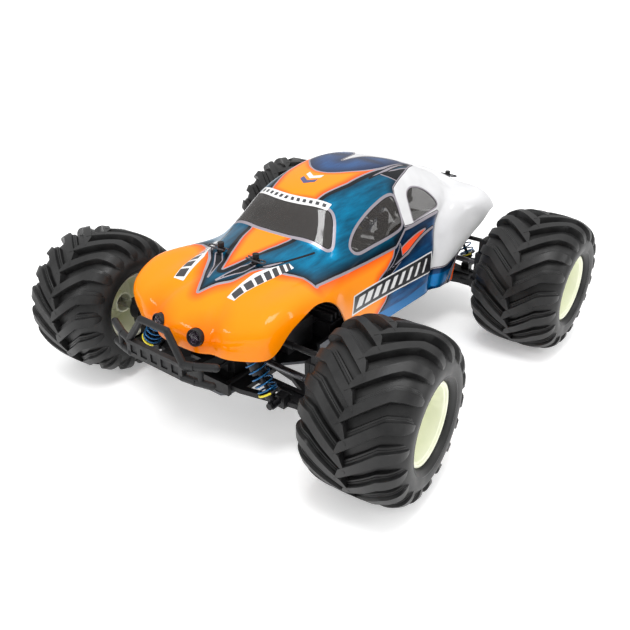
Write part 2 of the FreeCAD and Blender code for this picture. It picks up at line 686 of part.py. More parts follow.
# Half of the body's skin: each row crosses the truck from the middle line (x = 0) to the
# lower edge, and the rows run from under the nose to the tail. Points are (x, y, z).
# The trim line below cuts the wheel arches and the lower edge out of this skin.
SKIN = [
    [(0, -214, 90), (22, -213, 90), (40, -209, 91), (55, -203, 93), (67, -198, 95), (76, -193, 96),
     (82, -188, 97), (86, -182, 98), (88, -176, 98)],
    [(0, -219, 106), (22, -218, 106), (42, -213, 107), (58, -207, 108), (70, -202, 110), (80, -196, 111),
     (86, -189, 110), (89, -181, 107), (90, -174, 103)],
    [(0, -219.5, 121), (22, -218.5, 120), (43, -212, 122), (61, -206, 126), (74, -202, 128), (84, -195, 126),
     (89, -185, 120), (91, -175, 112), (92, -167, 103)],
    [(0, -206, 135), (22, -205, 135), (42, -200, 136), (60, -193, 139.5), (74, -189, 141), (85, -182, 139),
     (91, -172, 131), (93, -164, 118), (93, -158, 103)],
    [(0, -182, 147), (21, -181, 147), (40, -177, 146.5), (56, -172, 146.5), (72, -168, 149), (85, -162, 147),
     (92, -156, 137), (94, -150, 121), (94, -148, 103)],
    [(0, -152, 156), (20, -152, 156), (37, -150, 154), (52, -147, 148.5), (69, -143, 150.5), (83, -138, 147),
     (91, -134, 136), (93, -130, 120), (93, -130, 103)],
    [(0, -122, 162.5), (21, -122, 162.5), (38, -120, 160), (52, -117, 153), (66, -112, 149.5), (79, -108, 144),
     (87, -106, 132), (89, -104, 117), (89, -104, 98)],
    [(0, -99, 167), (22, -98, 166.5), (42, -95, 163), (56, -92, 157.5), (66, -88, 150.5), (75, -85, 142),
     (81, -84, 125), (83, -86, 104), (83, -88, 80)],
    [(0, -89, 169.5), (24, -88, 168.5), (44, -85, 166), (60, -79, 160.5), (69, -69, 152), (75, -66, 141),
     (79, -65, 120), (79, -67, 94), (78, -68, 62)],
    [(0, -75, 183), (22, -74, 182), (41, -72, 179), (57, -65, 171), (69.5, -50, 152), (75, -48, 138),
     (78, -47, 115), (77, -48, 86), (75, -48, 50)],
    [(0, -61, 195.5), (21, -60, 195), (38, -57, 192), (54, -48, 182), (70, -27, 151), (75, -27, 136),
     (77.5, -28, 112), (76, -28, 82), (73, -28, 48)],
    [(0, -34, 205), (21, -33, 204.5), (39, -30, 201), (57, -18, 185), (71, 0, 150), (75, 0, 135),
     (77.5, 0, 110), (75.5, 0, 80), (72, 0, 48)],
    [(0, 14, 211), (22, 15, 210.5), (42, 17, 206), (59, 22, 185), (71, 32, 149), (75, 32, 133),
     (77.5, 34, 108), (76, 36, 80), (73, 36, 48)],
    [(0, 60, 209), (22, 61, 208), (41, 62, 203.5), (57, 64, 183), (70, 66, 149), (74, 70, 130),
     (77.5, 72, 104), (77, 74, 78), (75, 74, 48)],
    [(0, 101, 199), (21, 101, 198), (39, 101, 193), (55, 100, 177), (69, 97, 149), (73, 97, 124),
     (78, 96, 100), (77.5, 97, 76), (76, 98, 48)],
    [(0, 128, 189), (20, 128, 188), (38, 127, 184), (55, 123, 172), (70, 117, 150), (75, 116, 119),
     (85, 116, 91), (81, 117, 76), (78, 117, 48)],
    [(0, 152, 179.5), (20, 151, 178.5), (38, 148, 176), (56, 141, 167), (73, 131, 153), (84, 132, 127),
     (93, 134, 106), (90, 136, 90), (86, 136, 60)],
    [(0, 178, 169), (20, 177, 168), (38, 171, 166), (57, 161, 163), (77, 150, 158), (91, 151, 140),
     (98, 155, 122), (97, 157, 105), (94, 157, 80)],
    [(0, 206, 155), (20, 204, 154), (38, 197, 154), (58, 185, 156), (79, 171, 159), (94, 171, 150),
     (101.5, 174, 138), (101, 176, 122), (99, 176, 100)],
    [(0, 233, 139), (20, 231, 138.5), (38, 223, 140), (60, 207, 146), (81, 193, 151), (95, 188, 146),
     (102.5, 188, 135), (102, 188, 120), (100, 188, 100)],
]

# Lower edge of the body in side view, (y, z), from the nose to the tail.
TRIM_NOSE = [(-260, 103.5), (-200, 104.5)]
TRIM_ARCH = [(-200, 104.5), (-192, 107.5), (-185, 116), (-176, 126), (-165, 132.5), (-150, 137), (-136, 138),
             (-120, 134), (-106, 125.5), (-93, 112.5), (-83, 99), (-73, 84), (-61, 69), (-50, 59), (-38, 54.5)]
TRIM_REAR = [(133, 54.5), (131, 90), (138, 103), (150, 113.5), (165, 123), (179, 134), (192, 136), (260, 120)]


def full_rows():
    rows = []
    for half in SKIN:
        left = [V(-x, y, z) for x, y, z in reversed(half[1:])]
        rows.append(left + [V(x, y, z) for x, y, z in half])
    return rows


def sharpened(points):
    # moves each inner point outward so that the smooth curve passes close to the given one
    out = list(points)
    for i in range(1, len(points) - 1):
        bend = points[i - 1] - points[i] * 2.0 + points[i + 1]
        out[i] = points[i] - bend * (1.0 / 6.0)
    return out


def skin_poles():
    rows = [sharpened(row) for row in full_rows()]
    columns = [sharpened(list(column)) for column in zip(*rows)]
    return [list(row) for row in zip(*columns)]


def inner_poles(poles):
    rows = len(poles)
    columns = len(poles[0])
    out = []
    for i in range(rows):
        line = []
        for j in range(columns):
            along = poles[min(i + 1, rows - 1)][j] - poles[max(i - 1, 0)][j]
            across = poles[i][min(j + 1, columns - 1)] - poles[i][max(j - 1, 0)]
            normal = across.cross(along)
            normal.normalize()
            line.append(poles[i][j] + normal * SHELL_T)
        out.append(line)
    return out


def clamped(count):
    knots = list(range(count - 2))
    mults = [4] + [1] * (count - 4) + [4]
    return knots, mults


def surface(poles):
    u_knots, u_mults = clamped(len(poles))
    v_knots, v_mults = clamped(len(poles[0]))
    s = Part.BSplineSurface()
    s.buildFromPolesMultsKnots(poles, u_mults, v_mults, u_knots, v_knots, False, False, 3, 3)
    return s


def border(s, k):
    u0, u1, v0, v1 = s.bounds()
    lines = [s.uIso(u0), s.vIso(v1), s.uIso(u1), s.vIso(v0)]
    return lines[k].toShape()


def skin_solid():
    outer = surface(skin_poles())
    inner = surface(inner_poles(skin_poles()))
    faces = [outer.toShape(), inner.toShape()]
    for k in range(4):
        faces.append(Part.makeRuledSurface(border(outer, k), border(inner, k)))
    shell = Part.makeShell(faces)
    shell.sewShape()
    solid = Part.makeSolid(shell)
    if solid.Volume < 0:
        solid.reverse()
    return solid


def trim_tool():
    arch = Part.BSplineCurve()
    arch.interpolate([V(-130, y, z) for y, z in TRIM_ARCH])
    rear = Part.BSplineCurve()
    rear.interpolate([V(-130, y, z) for y, z in TRIM_REAR[1:-1]])
    corners = [TRIM_REAR[-2], TRIM_REAR[-1], (260, 0), (-260, 0), TRIM_NOSE[0], TRIM_NOSE[1]]
    edges = [arch.toShape(), rear.toShape()]
    for pair in zip(corners, corners[1:]):
        edges.append(side_line(pair))
    edges.append(side_line((TRIM_ARCH[-1], TRIM_REAR[0])))
    edges.append(side_line((TRIM_REAR[0], TRIM_REAR[1])))
    wire = Part.Wire(Part.__sortEdges__(edges))
    return Part.Face(wire).extrude(V(260, 0, 0))


def side_line(pair):
    (ya, za), (yb, zb) = pair
    return Part.LineSegment(V(-130, ya, za), V(-130, yb, zb)).toShape()


def lamp_axis(side):
    d = V(side * 0.13, -0.97, 0.2)
    d.normalize()
    return d


def lamp(side, r, front, back):
    d = lamp_axis(side)
    p = V(side * LAMP.x, LAMP.y, LAMP.z)
    return rod(p - d * back, p + d * front, r)


def body_shell():
    holes = [lamp(s, LAMP_R + 0.4, 8, 9) for s in (-1, 1)]
    for x, y in (POST_FRONT, POST_REAR):
        holes += [z_rod(s * x, y, 130, 180, 4.4) for s in (-1, 1)]
    return cut(skin_solid().cut(trim_tool()), holes)


def drilled(post, x, y, z):
    return post.cut(x_rod(x - 5, x + 5, y, z, 1.0))


def body_posts():
    x, y = POST_FRONT
    front = drilled(z_rod(x, y, 92, 168, 3.0).fuse(z_rod(x, y, 92, 95, 4.2)), x, y, CLIP_FRONT_Z)
    x, y = POST_REAR
    arm_bar = box(x - 3.5, x + 3.5, AXLE_Y + 19, y + 3, 108, 114)
    rear = drilled(z_rod(x, y, 108, 158, 3.0).fuse(arm_bar), x, y, CLIP_REAR_Z)
    return [shape for post in (front, rear) for shape in both_sides(post)]


def body_clip(x, y, z):
    # a bent wire clip: one leg through the post, one leg beside it, joined by a finger loop
    points = [V(x - 9, y, z), V(x, y, z), V(x + 8, y, z), V(x + 12, y - 0.8, z), V(x + 13, y - 2.6, z),
              V(x + 12, y - 4.5, z), V(x + 8, y - 5.4, z), V(x, y - 5.0, z), V(x - 8, y - 4.6, z)]
    curve = Part.BSplineCurve()
    curve.interpolate(points)
    section = Part.Wire(Part.makeCircle(0.8, points[0], X_AXIS))
    return Part.Wire(curve.toShape()).makePipeShell([section], True, False)


def body_clips():
    x, y = POST_FRONT
    front = body_clip(x, y, CLIP_FRONT_Z)
    x, y = POST_REAR
    rear = body_clip(x, y, CLIP_REAR_Z)
    return [shape for clip in (front, rear) for shape in both_sides(clip)]


# ---------------------------------------------------------------- output

def corner_names():
    return [("fl", 1, -1), ("fr", -1, -1), ("rl", 1, 1), ("rr", -1, 1)]


def placed(shape, side, end):
    if side < 0:
        shape = other_side(shape)
    return other_end(shape) if end < 0 else shape


def save_corners():
    shared = {"arm": arm(), "upper_link": upper_link(), "halfshaft": halfshaft(), "shock_body": shock_body(),
              "shock_shaft": shock_shaft()}
    left, right = both_sides(spring())
    springs = {"rl": left, "rr": right, "fl": half_turn(right), "fr": half_turn(left)}
    tyre_shape = tyre()
    wheel_shape = wheel()
    for tag, side, end in corner_names():
        for name, shape in shared.items():
            save(name + "_" + tag, placed(shape, side, end))
        save("spring_" + tag, springs[tag])
        save("tyre_" + tag, at_wheel(tyre_shape, side, end))
        save("wheel_" + tag, at_wheel(wheel_shape, side, end))
        carrier = front_carrier() if end < 0 else rear_carrier()
        save("carrier_" + tag, placed(carrier, side, end))
        if end < 0:
            save("knuckle_" + tag, steered(placed(knuckle(), side, end), side))


def save_steering():
    save("steering_rack", rack_shift(rack()))
    save("servo_saver", bellcrank(1))
    save("idler_bellcrank", bellcrank(-1))
    save("tie_rod_fl", rack_shift(tie_rod()))
    save("tie_rod_fr", rack_shift(half_turn(tie_rod(), -out_y(-STEER_ARM))))
    save("steering_servo", servo())


def save_chassis():
    save("chassis_plate", chassis())
    save("front_bumper", front_bumper())
    save("rear_bumper", rear_bumper())
    save("gear_case_rear", gear_case())
    save("gear_case_front", other_end(gear_case()))
    save("shock_tower_rear", tower())
    save("shock_tower_front", other_end(tower()))
    save("driveline", driveline())
    save("pinion", pinion())
    save("motor", motor())
    save("battery_pack", battery())
    save("speed_controller", speed_controller())


def save_body():
    save("body_shell", body_shell())
    save("headlights", Part.makeCompound([lamp(s, LAMP_R, 2.2, 5) for s in (-1, 1)]))
    save("body_posts", Part.makeCompound(body_posts()))
    save("body_clips", Part.makeCompound(body_clips()))


os.makedirs("parts", exist_ok=True)
save_corners()
save_steering()
save_chassis()
save_body()
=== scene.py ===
import json
import math
from contextlib import contextmanager

import bmesh
import bpy
import numpy as np
from mathutils import Matrix, Vector


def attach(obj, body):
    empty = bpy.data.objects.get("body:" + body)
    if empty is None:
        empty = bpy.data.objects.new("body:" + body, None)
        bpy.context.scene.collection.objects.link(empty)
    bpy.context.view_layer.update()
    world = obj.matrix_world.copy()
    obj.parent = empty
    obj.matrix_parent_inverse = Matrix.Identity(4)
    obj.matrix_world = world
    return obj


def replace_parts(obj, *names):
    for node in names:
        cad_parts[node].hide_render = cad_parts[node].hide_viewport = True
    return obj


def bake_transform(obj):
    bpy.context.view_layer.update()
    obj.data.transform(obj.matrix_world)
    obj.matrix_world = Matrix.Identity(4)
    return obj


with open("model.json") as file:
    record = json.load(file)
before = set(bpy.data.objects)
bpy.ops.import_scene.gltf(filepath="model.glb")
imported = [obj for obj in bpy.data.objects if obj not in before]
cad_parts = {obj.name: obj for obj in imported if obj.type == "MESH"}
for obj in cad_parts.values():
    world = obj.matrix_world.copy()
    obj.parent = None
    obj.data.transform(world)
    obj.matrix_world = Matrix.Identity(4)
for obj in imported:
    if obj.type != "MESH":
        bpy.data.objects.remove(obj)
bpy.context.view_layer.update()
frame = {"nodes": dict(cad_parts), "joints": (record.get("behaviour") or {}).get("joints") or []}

MM = 0.001
CORNERS = [("fl", 1, -1), ("fr", -1, -1), ("rl", 1, 1), ("rr", -1, 1)]
NODES = frame["nodes"]
JOINTS = {j["name"]: j for j in frame["joints"]}


# ================================================================ shader helpers

class Shade:
    """One material and short calls for its nodes."""

    NAMES = {"color": "Base Color", "rough": "Roughness", "metal": "Metallic", "coat": "Coat Weight",
             "coat_rough": "Coat Roughness", "ior": "IOR", "alpha": "Alpha", "specular": "Specular IOR Level",
             "glow": "Emission Strength", "glow_color": "Emission Color"}

    def __init__(self, name):
        self.material = bpy.data.materials.new(name)
        self.material.use_nodes = True
        self.tree = self.material.node_tree
        self.tree.nodes.clear()
        self.bsdf = self.tree.nodes.new("ShaderNodeBsdfPrincipled")
        self.put(self.tree.nodes.new("ShaderNodeOutputMaterial").inputs["Surface"], self.bsdf.outputs[0])
        self.coords = self.node("TexCoord", {}, "Object")

    def put(self, socket, value):
        if isinstance(value, bpy.types.NodeSocket):
            self.tree.links.new(value, socket)
        elif hasattr(value, "__len__"):
            socket.default_value = (tuple(value) + (1.0,))[:len(socket.default_value)]
        else:
            socket.default_value = value

    def node(self, kind, inputs, output=0, **settings):
        """a new node's output; its inputs are numbers, colours or other outputs"""
        node = self.tree.nodes.new("ShaderNode" + kind)
        for key, value in settings.items():
            setattr(node, key, value)
        for key, value in inputs.items():
            self.put(node.inputs[key], value)
        return node.outputs[output]

    def span(self, value, low, high, to_low=0.0, to_high=1.0):
        """value mapped from low..high to to_low..to_high, and held at the ends"""
        return self.node("MapRange", {"Value": value, "From Min": low, "From Max": high, "To Min": to_low,
                                      "To Max": to_high})

    def mix(self, factor, a, b):
        return self.node("Mix", {0: factor, 6: a, 7: b}, 2, data_type="RGBA")

    def shade(self, value, dark, light, low=0.3, high=0.7):
        """a colour from dark to light while value goes from low to high"""
        return self.mix(self.span(value, low, high), dark, light)

    def noise(self, scale, detail=3.0, rough=0.5, stretch=(1, 1, 1)):
        vector = self.node("Mapping", {"Vector": self.coords, "Scale": stretch})
        return self.node("TexNoise", {"Vector": vector, "Scale": scale, "Detail": detail, "Roughness": rough})

    def cells(self, scale):
        return self.node("TexVoronoi", {"Vector": self.coords, "Scale": scale}, "Distance")

    def attribute(self, name):
        return self.node("Attribute", {}, "Fac", attribute_name=name)

    def set(self, **values):
        for key, value in values.items():
            self.put(self.bsdf.inputs[self.NAMES[key]], value)

    def bump(self, height, distance):
        """relief of distance in metres; returns the finished material"""
        self.put(self.bsdf.inputs["Normal"],
                 self.node("Bump", {"Height": height, "Distance": distance, "Strength": 1.0}))
        return self.material


def times(color, factor):
    return [c * factor for c in color]


def moulded(name, color, rough=0.45, grain=0.00006, scale=900.0):
    """moulded plastic: fine spark-eroded grain, slightly uneven colour"""
    s = Shade(name)
    s.set(color=s.mix(s.span(s.noise(60.0, 4.0), 0.3, 0.7, 0.083, 0.917), times(color, 0.8), times(color, 1.25)),
          rough=s.span(s.noise(220.0), 0.3, 0.7, rough - 0.06, rough + 0.08), specular=0.3)
    return s.bump(s.noise(scale, 3.0, 0.6), grain)


def brushed(name, color, rough=0.32, stretch=(1, 1, 1), metal=1.0):
    """metal with fine lines along one direction"""
    s = Shade(name)
    lines = s.noise(700.0, 4.0, 0.6, stretch)
    s.set(color=s.shade(lines, times(color, 0.8), color, 0.35, 0.65), metal=metal,
          rough=s.span(lines, 0.3, 0.7, rough - 0.08, rough + 0.1))
    return s.bump(lines, 0.00002)


# ================================================================ mesh helpers

@contextmanager
def editing(mesh):
    work = bmesh.new()
    work.from_mesh(mesh)
    yield work
    work.to_mesh(mesh)
    work.free()


def make(name, points_mm, faces, materials, indices=None, angle=35.0, attributes=None):
    """a mesh object from points in mm; edges sharper than angle are shaded sharp"""
    mesh = bpy.data.meshes.new(name)
    mesh.from_pydata((np.asarray(points_mm, float) * MM).tolist(), [], faces)
    for m in materials if isinstance(materials, list) else [materials]:
        mesh.materials.append(m)
    if indices is not None:
        mesh.polygons.foreach_set("material_index", np.asarray(indices, np.int32))
    for key, values in (attributes or {}).items():
        mesh.attributes.new(key, "FLOAT", "POINT").data.foreach_set("value", np.asarray(values, np.float32))
    mesh.update()
    if angle is not None:
        sharpen(mesh, angle)
    obj = bpy.data.objects.new(name, mesh)
    bpy.context.scene.collection.objects.link(obj)
    return obj


def sharpen(mesh, angle):
    with editing(mesh) as work:
        for face in work.faces:
            face.smooth = True
        for edge in work.edges:
            if len(edge.link_faces) != 2 or edge.calc_face_angle(0.0) > math.radians(angle):
                edge.smooth = False


def weld(mesh, distance=0.000002):
    with editing(mesh) as work:
        bmesh.ops.remove_doubles(work, verts=work.verts, dist=distance)
        bmesh.ops.dissolve_degenerate(work, edges=work.edges, dist=distance)
        bmesh.ops.recalc_face_normals(work, faces=work.faces)


def spline(points, steps=8, closed=False):
    """a smooth curve through points (Catmull-Rom), as a dense array"""
    p = np.asarray(points, float)
    p = np.vstack([p[-1:], p, p[:2]] if closed else [p[:1], p, p[-1:]])
    t = np.linspace(0, 1, steps, endpoint=False)[:, None]
    out = [0.5 * (2 * b + (c - a) * t + (2 * a - 5 * b + 4 * c - d) * t ** 2 + (3 * b - a - 3 * c + d) * t ** 3)
           for a, b, c, d in zip(p, p[1:], p[2:], p[3:])]
    return np.vstack(out if closed else out + [p[-2:-1]])


def run_of(points):
    """the length along a polyline up to each of its points"""
    return np.concatenate([[0.0], np.cumsum(np.linalg.norm(np.diff(points, axis=0), axis=1))])


def ring_faces(rows, n, joined=False):
    """the quads between rows of n points, each row a closed loop; joined: the last row meets the first"""
    faces = []
    for i in range(rows if joined else rows - 1):
        a, b = i * n, (i + 1) % rows * n
        faces += [(a + j, a + (j + 1) % n, b + (j + 1) % n, b + j) for j in range(n)]
    return faces


def rod_faces(rows, n):
    """the same with a cap at each end"""
    return ring_faces(rows, n) + [tuple(reversed(range(n))), tuple(range((rows - 1) * n, rows * n))]


def lathe(profile, segments=96):
    """points and faces of a closed profile of (along, radius) turned about X"""
    x, r = np.asarray(profile, float).T
    angle = np.linspace(0, 2 * math.pi, segments, endpoint=False)
    points = np.stack([np.tile(x, segments), np.outer(np.cos(angle), r).ravel(),
                       np.outer(np.sin(angle), r).ravel()], axis=1)
    faces = [f for f in ring_faces(segments, len(r), True) if r[f[0] % len(r)] + r[f[1] % len(r)] > 1e-6]
    return points, faces


def turned_piece(name, profile, material, segments=96, angle=35.0):
    points, faces = lathe(profile, segments)
    obj = make(name, points, faces, material, angle=None)
    weld(obj.data)
    sharpen(obj.data, angle)
    return obj


def place(obj, origin_mm, axis):
    """stands the piece's own X axis along axis, at origin"""
    rotation = Vector((1, 0, 0)).rotation_difference(Vector(axis)).to_matrix().to_4x4()
    obj.matrix_world = Matrix.Translation(Vector(origin_mm) * MM) @ rotation
    return obj


# ================================================================ the body's skin

# Half of the body's skin: each row crosses the truck from the middle line (x = 0) to the
# lower edge, and the rows run from under the nose to the tail. Points are (x, y, z) in mm.
SKIN = [
    [(0, -214, 90), (22, -213, 90), (40, -209, 91), (55, -203, 93), (67, -198, 95), (76, -193, 96),
     (82, -188, 97), (86, -182, 98), (88, -176, 98)],
    [(0, -219, 106), (22, -218, 106), (42, -213, 107), (58, -207, 108), (70, -202, 110), (80, -196, 111),
     (86, -189, 110), (89, -181, 107), (90, -174, 103)],
    [(0, -219.5, 121), (22, -218.5, 120), (43, -212, 122), (61, -206, 126), (74, -202, 128), (84, -195, 126),
     (89, -185, 120), (91, -175, 112), (92, -167, 103)],
    [(0, -206, 135), (22, -205, 135), (42, -200, 136), (60, -193, 139.5), (74, -189, 141), (85, -182, 139),
     (91, -172, 131), (93, -164, 118), (93, -158, 103)],
    [(0, -182, 147), (21, -181, 147), (40, -177, 146.5), (56, -172, 146.5), (72, -168, 149), (85, -162, 147),
     (92, -156, 137), (94, -150, 121), (94, -148, 103)],
    [(0, -152, 156), (20, -152, 156), (37, -150, 154), (52, -147, 148.5), (69, -143, 150.5), (83, -138, 147),
     (91, -134, 136), (93, -130, 120), (93, -130, 103)],
    [(0, -122, 162.5), (21, -122, 162.5), (38, -120, 160), (52, -117, 153), (66, -112, 149.5), (79, -108, 144),
     (87, -106, 132), (89, -104, 117), (89, -104, 98)],
    [(0, -99, 167), (22, -98, 166.5), (42, -95, 163), (56, -92, 157.5), (66, -88, 150.5), (75, -85, 142),
     (81, -84, 125), (83, -86, 104), (83, -88, 80)],
    [(0, -89, 169.5), (24, -88, 168.5), (44, -85, 166), (60, -79, 160.5), (69, -69, 152), (75, -66, 141),
     (79, -65, 120), (79, -67, 94), (78, -68, 62)],
    [(0, -75, 183), (22, -74, 182), (41, -72, 179), (57, -65, 171), (69.5, -50, 152), (75, -48, 138),
     (78, -47, 115), (77, -48, 86), (75, -48, 50)],
    [(0, -61, 195.5), (21, -60, 195), (38, -57, 192), (54, -48, 182), (70, -27, 151), (75, -27, 136),
     (77.5, -28, 112), (76, -28, 82), (73, -28, 48)],
    [(0, -34, 205), (21, -33, 204.5), (39, -30, 201), (57, -18, 185), (71, 0, 150), (75, 0, 135),
     (77.5, 0, 110), (75.5, 0, 80), (72, 0, 48)],
    [(0, 14, 211), (22, 15, 210.5), (42, 17, 206), (59, 22, 185), (71, 32, 149), (75, 32, 133),
     (77.5, 34, 108), (76, 36, 80), (73, 36, 48)],
    [(0, 60, 209), (22, 61, 208), (41, 62, 203.5), (57, 64, 183), (70, 66, 149), (74, 70, 130),
     (77.5, 72, 104), (77, 74, 78), (75, 74, 48)],
    [(0, 101, 199), (21, 101, 198), (39, 101, 193), (55, 100, 177), (69, 97, 149), (73, 97, 124),
     (78, 96, 100), (77.5, 97, 76), (76, 98, 48)],
    [(0, 128, 189), (20, 128, 188), (38, 127, 184), (55, 123, 172), (70, 117, 150), (75, 116, 119),
     (85, 116, 91), (81, 117, 76), (78, 117, 48)],
    [(0, 152, 179.5), (20, 151, 178.5), (38, 148, 176), (56, 141, 167), (73, 131, 153), (84, 132, 127),
     (93, 134, 106), (90, 136, 90), (86, 136, 60)],
    [(0, 178, 169), (20, 177, 168), (38, 171, 166), (57, 161, 163), (77, 150, 158), (91, 151, 140),
     (98, 155, 122), (97, 157, 105), (94, 157, 80)],
    [(0, 206, 155), (20, 204, 154), (38, 197, 154), (58, 185, 156), (79, 171, 159), (94, 171, 150),
     (101.5, 174, 138), (101, 176, 122), (99, 176, 100)],
    [(0, 233, 139), (20, 231, 138.5), (38, 223, 140), (60, 207, 146), (81, 193, 151), (95, 188, 146),
     (102.5, 188, 135), (102, 188, 120), (100, 188, 100)],
]

# Lower edge of the body in side view, (y, z): the front wheel arch, and the rear one.
TRIM_ARCH = [(-200, 104.5), (-192, 107.5), (-185, 116), (-176, 126), (-165, 132.5), (-150, 137), (-136, 138),
             (-120, 134), (-106, 125.5), (-93, 112.5), (-83, 99), (-73, 84), (-61, 69), (-50, 59), (-38, 54.5)]
TRIM_REAR = [(131, 90), (138, 103), (150, 113.5), (165, 123), (179, 134), (192, 136)]
SHELL_T = 1.5
LAMP = (22.8, -217.6, 119.6)
LAMP_AXIS = (0.13, -0.97, 0.2)
LAMP_HOLE = 8.2
LAMP_SCALE = 0.92
POSTS = [(21.7, -136.4), (26.0, 214.0)]
POST_HOLE = 4.4


def bspline_basis(count, t):
    """values of the uniform clamped cubic B-spline basis with count poles at t"""
    knots = np.concatenate([[0] * 3, np.arange(count - 2), [count - 3] * 3]).astype(float)
    t = np.asarray(t, float)[:, None]
    basis = ((t >= knots[:-1]) & (t < knots[1:])).astype(float)
    basis[t[:, 0] >= knots[-1], count - 1] = 1.0
    for k in range(1, 4):
        start, end = knots[:-k - 1], knots[k + 1:]
        left, right = knots[k:-1] - start, end - knots[1:-k]
        rise = np.divide(t - start, left, out=np.zeros((len(t), len(left))), where=left > 0)
        fall = np.divide(end - t, right, out=np.zeros((len(t), len(right))), where=right > 0)
        basis = rise * basis[:, :-1] + fall * basis[:, 1:]
    return basis


def skin_poles():
    rows = [[(-x, y, z) for x, y, z in reversed(half[1:])] + list(half) for half in SKIN]
    grid = np.array(rows, float)
    for _ in range(2):
        pushed = grid.copy()
        pushed[1:-1] -= (grid[:-2] - 2 * grid[1:-1] + grid[2:]) / 6.0
        grid = pushed.transpose(1, 0, 2)
    return grid


POLES = skin_poles()
ROWS, COLUMNS = POLES.shape[:2]
LAST_U, LAST_V = ROWS - 3, COLUMNS - 3
MIDDLE = LAST_V / 2


def skin(u, v):
    return np.einsum("ui,vj,ijk->uvk", bspline_basis(ROWS, u), bspline_basis(COLUMNS, v), POLES)


def even(low, high, steps, spacing):
    """parameters from low to high that are about spacing mm apart where the skin is widest spread"""
    t = np.linspace(low, high, 1200)
    run = np.concatenate([[0.0], np.cumsum(steps(t))])
    count = max(4, int(math.ceil(run[-1] / spacing)) + 1)
    return np.interp(np.linspace(0, run[-1], count), run, t)


def row_steps(t):
    return np.linalg.norm(np.diff(skin(t, np.linspace(MIDDLE, LAST_V, 15)), axis=0), axis=2).max(1)


def column_steps(t):
    return np.linalg.norm(np.diff(skin(np.linspace(0, LAST_U, 35), t), axis=1), axis=2).max(0)


def inside(points, polygon):
    """even-odd test of (n, 2) points"""
    x, y = points[:, 0], points[:, 1]
    result = np.zeros(len(points), bool)
    for (x0, y0), (x1, y1) in zip(polygon, np.roll(polygon, -1, axis=0)):
        if y0 == y1:
            continue
        crosses = (y0 > y) != (y1 > y)
        result ^= crosses & (x < (x1 - x0) * (y - y0) / (y1 - y0) + x0)
    return result


def distance_to(points, line):
    """distance from (n, 3) points to an open polyline"""
    best = np.full(len(points), 1e9)
    for a, b in zip(line, line[1:]):
        d = b - a
        t = np.clip((points - a) @ d / max(d @ d, 1e-12), 0, 1)
        best = np.minimum(best, np.linalg.norm(points - a - t[:, None] * d, axis=1))
    return best


# Creases pressed into the skin: the line, the chart it is drawn in, its depth and width, and the height of the
# swelling behind it. The first parts the cab from the rear fender, the second the hood from the front fender.
CREASES = [
    ([(168, 166), (154.5, 161.4), (137, 157.5), (118, 140.4), (108.5, 124.6), (106, 111), (100, 84), (98, 60)],
     "side", 4.4, 7.0, 2.6),
    ([(17, -150), (19, -167), (22, -178), (29, -192), (33.5, -207), (37, -214)], "arc", 2.8, 9.0, 1.0),
]
# Where the swelling peaks and how wide it is, in widths of its crease.
SWELL_AT, SWELL_WIDTH = 2.2, 1.4


def relief(point, a):
    """height in mm of the creases above the plain skin, negative in a crease"""
    height = np.zeros(a.size)
    y, z = point.reshape(-1, 3)[:, 1:].T
    for line, chart, depth, width, swell in CREASES:
        line = spline(line, 8)
        pair = np.column_stack([y, z] if chart == "side" else [a.ravel(), y])
        far = distance_to(pair, line)
        behind = pair[:, 0] > np.interp(-pair[:, 1], -line[:, 1], line[:, 0])
        height += swell * behind * np.exp(-((far - SWELL_AT * width) / (SWELL_WIDTH * width)) ** 2)
        height -= depth * np.exp(-(far / width) ** 2)
    return height.reshape(a.shape)


class Patch:
    """Part of the skin's left half (x at least 0), sampled on a grid of parameters. Fields: point, outward
    normal, and a, the arc length across the section from the middle line."""

    def __init__(self, u, v):
        self.u, self.v = u, v
        self.point = skin(u, v)
        e = 1e-3
        du = skin(np.clip(u + e, 0, LAST_U), v) - skin(np.clip(u - e, 0, LAST_U), v)
        dv = skin(u, np.clip(v + e, 0, LAST_V)) - skin(u, np.clip(v - e, 0, LAST_V))
        normal = np.cross(dv, du)
        self.normal = normal / np.linalg.norm(normal, axis=2, keepdims=True)
        fine = np.linspace(MIDDLE, LAST_V, 281)
        self.a = np.array([np.interp(v, fine, run_of(section)) for section in skin(u, fine)])
        self.point = self.point + self.normal * relief(self.point, self.a)[..., None]

    def sheet(self):
        """one row per grid point: x y z, normal, a; and the grid's faces"""
        n, m = len(self.u), len(self.v)
        i, j = np.meshgrid(np.arange(n - 1), np.arange(m - 1), indexing="ij")
        k = (i * m + j).ravel()
        flat = np.concatenate([self.point, self.normal, self.a[..., None]], axis=2).reshape(-1, 7)
        return Sheet(flat, np.stack([k, k + 1, k + m + 1, k + m], axis=1))


GRID = 1.6
whole = Patch(even(0, LAST_U, row_steps, GRID), even(MIDDLE, LAST_V, column_steps, GRID))


def skin_at(first, second, target, wanted, allowed=True):
    """the wanted fields of the skin where its fields first and second meet the target: nearest grid point, then
    one step along the slopes"""
    miss = np.where(allowed, (first - target[0]) ** 2 + (second - target[1]) ** 2, 1e9)
    i, j = np.unravel_index(np.argmin(miss), miss.shape)
    i = min(max(i, 1), miss.shape[0] - 2)
    j = min(max(j, 1), miss.shape[1] - 2)

    def slopes(f):
        return np.array([(f[i + 1, j] - f[i - 1, j]) / 2, (f[i, j + 1] - f[i, j - 1]) / 2])

    away = np.array([target[0] - first[i, j], target[1] - second[i, j]])
    step = np.linalg.lstsq(np.array([slopes(first), slopes(second)]), away, rcond=None)[0]
    step = np.clip(step, -2, 2)
    return [f[i, j] + step @ slopes(f) for f in wanted]


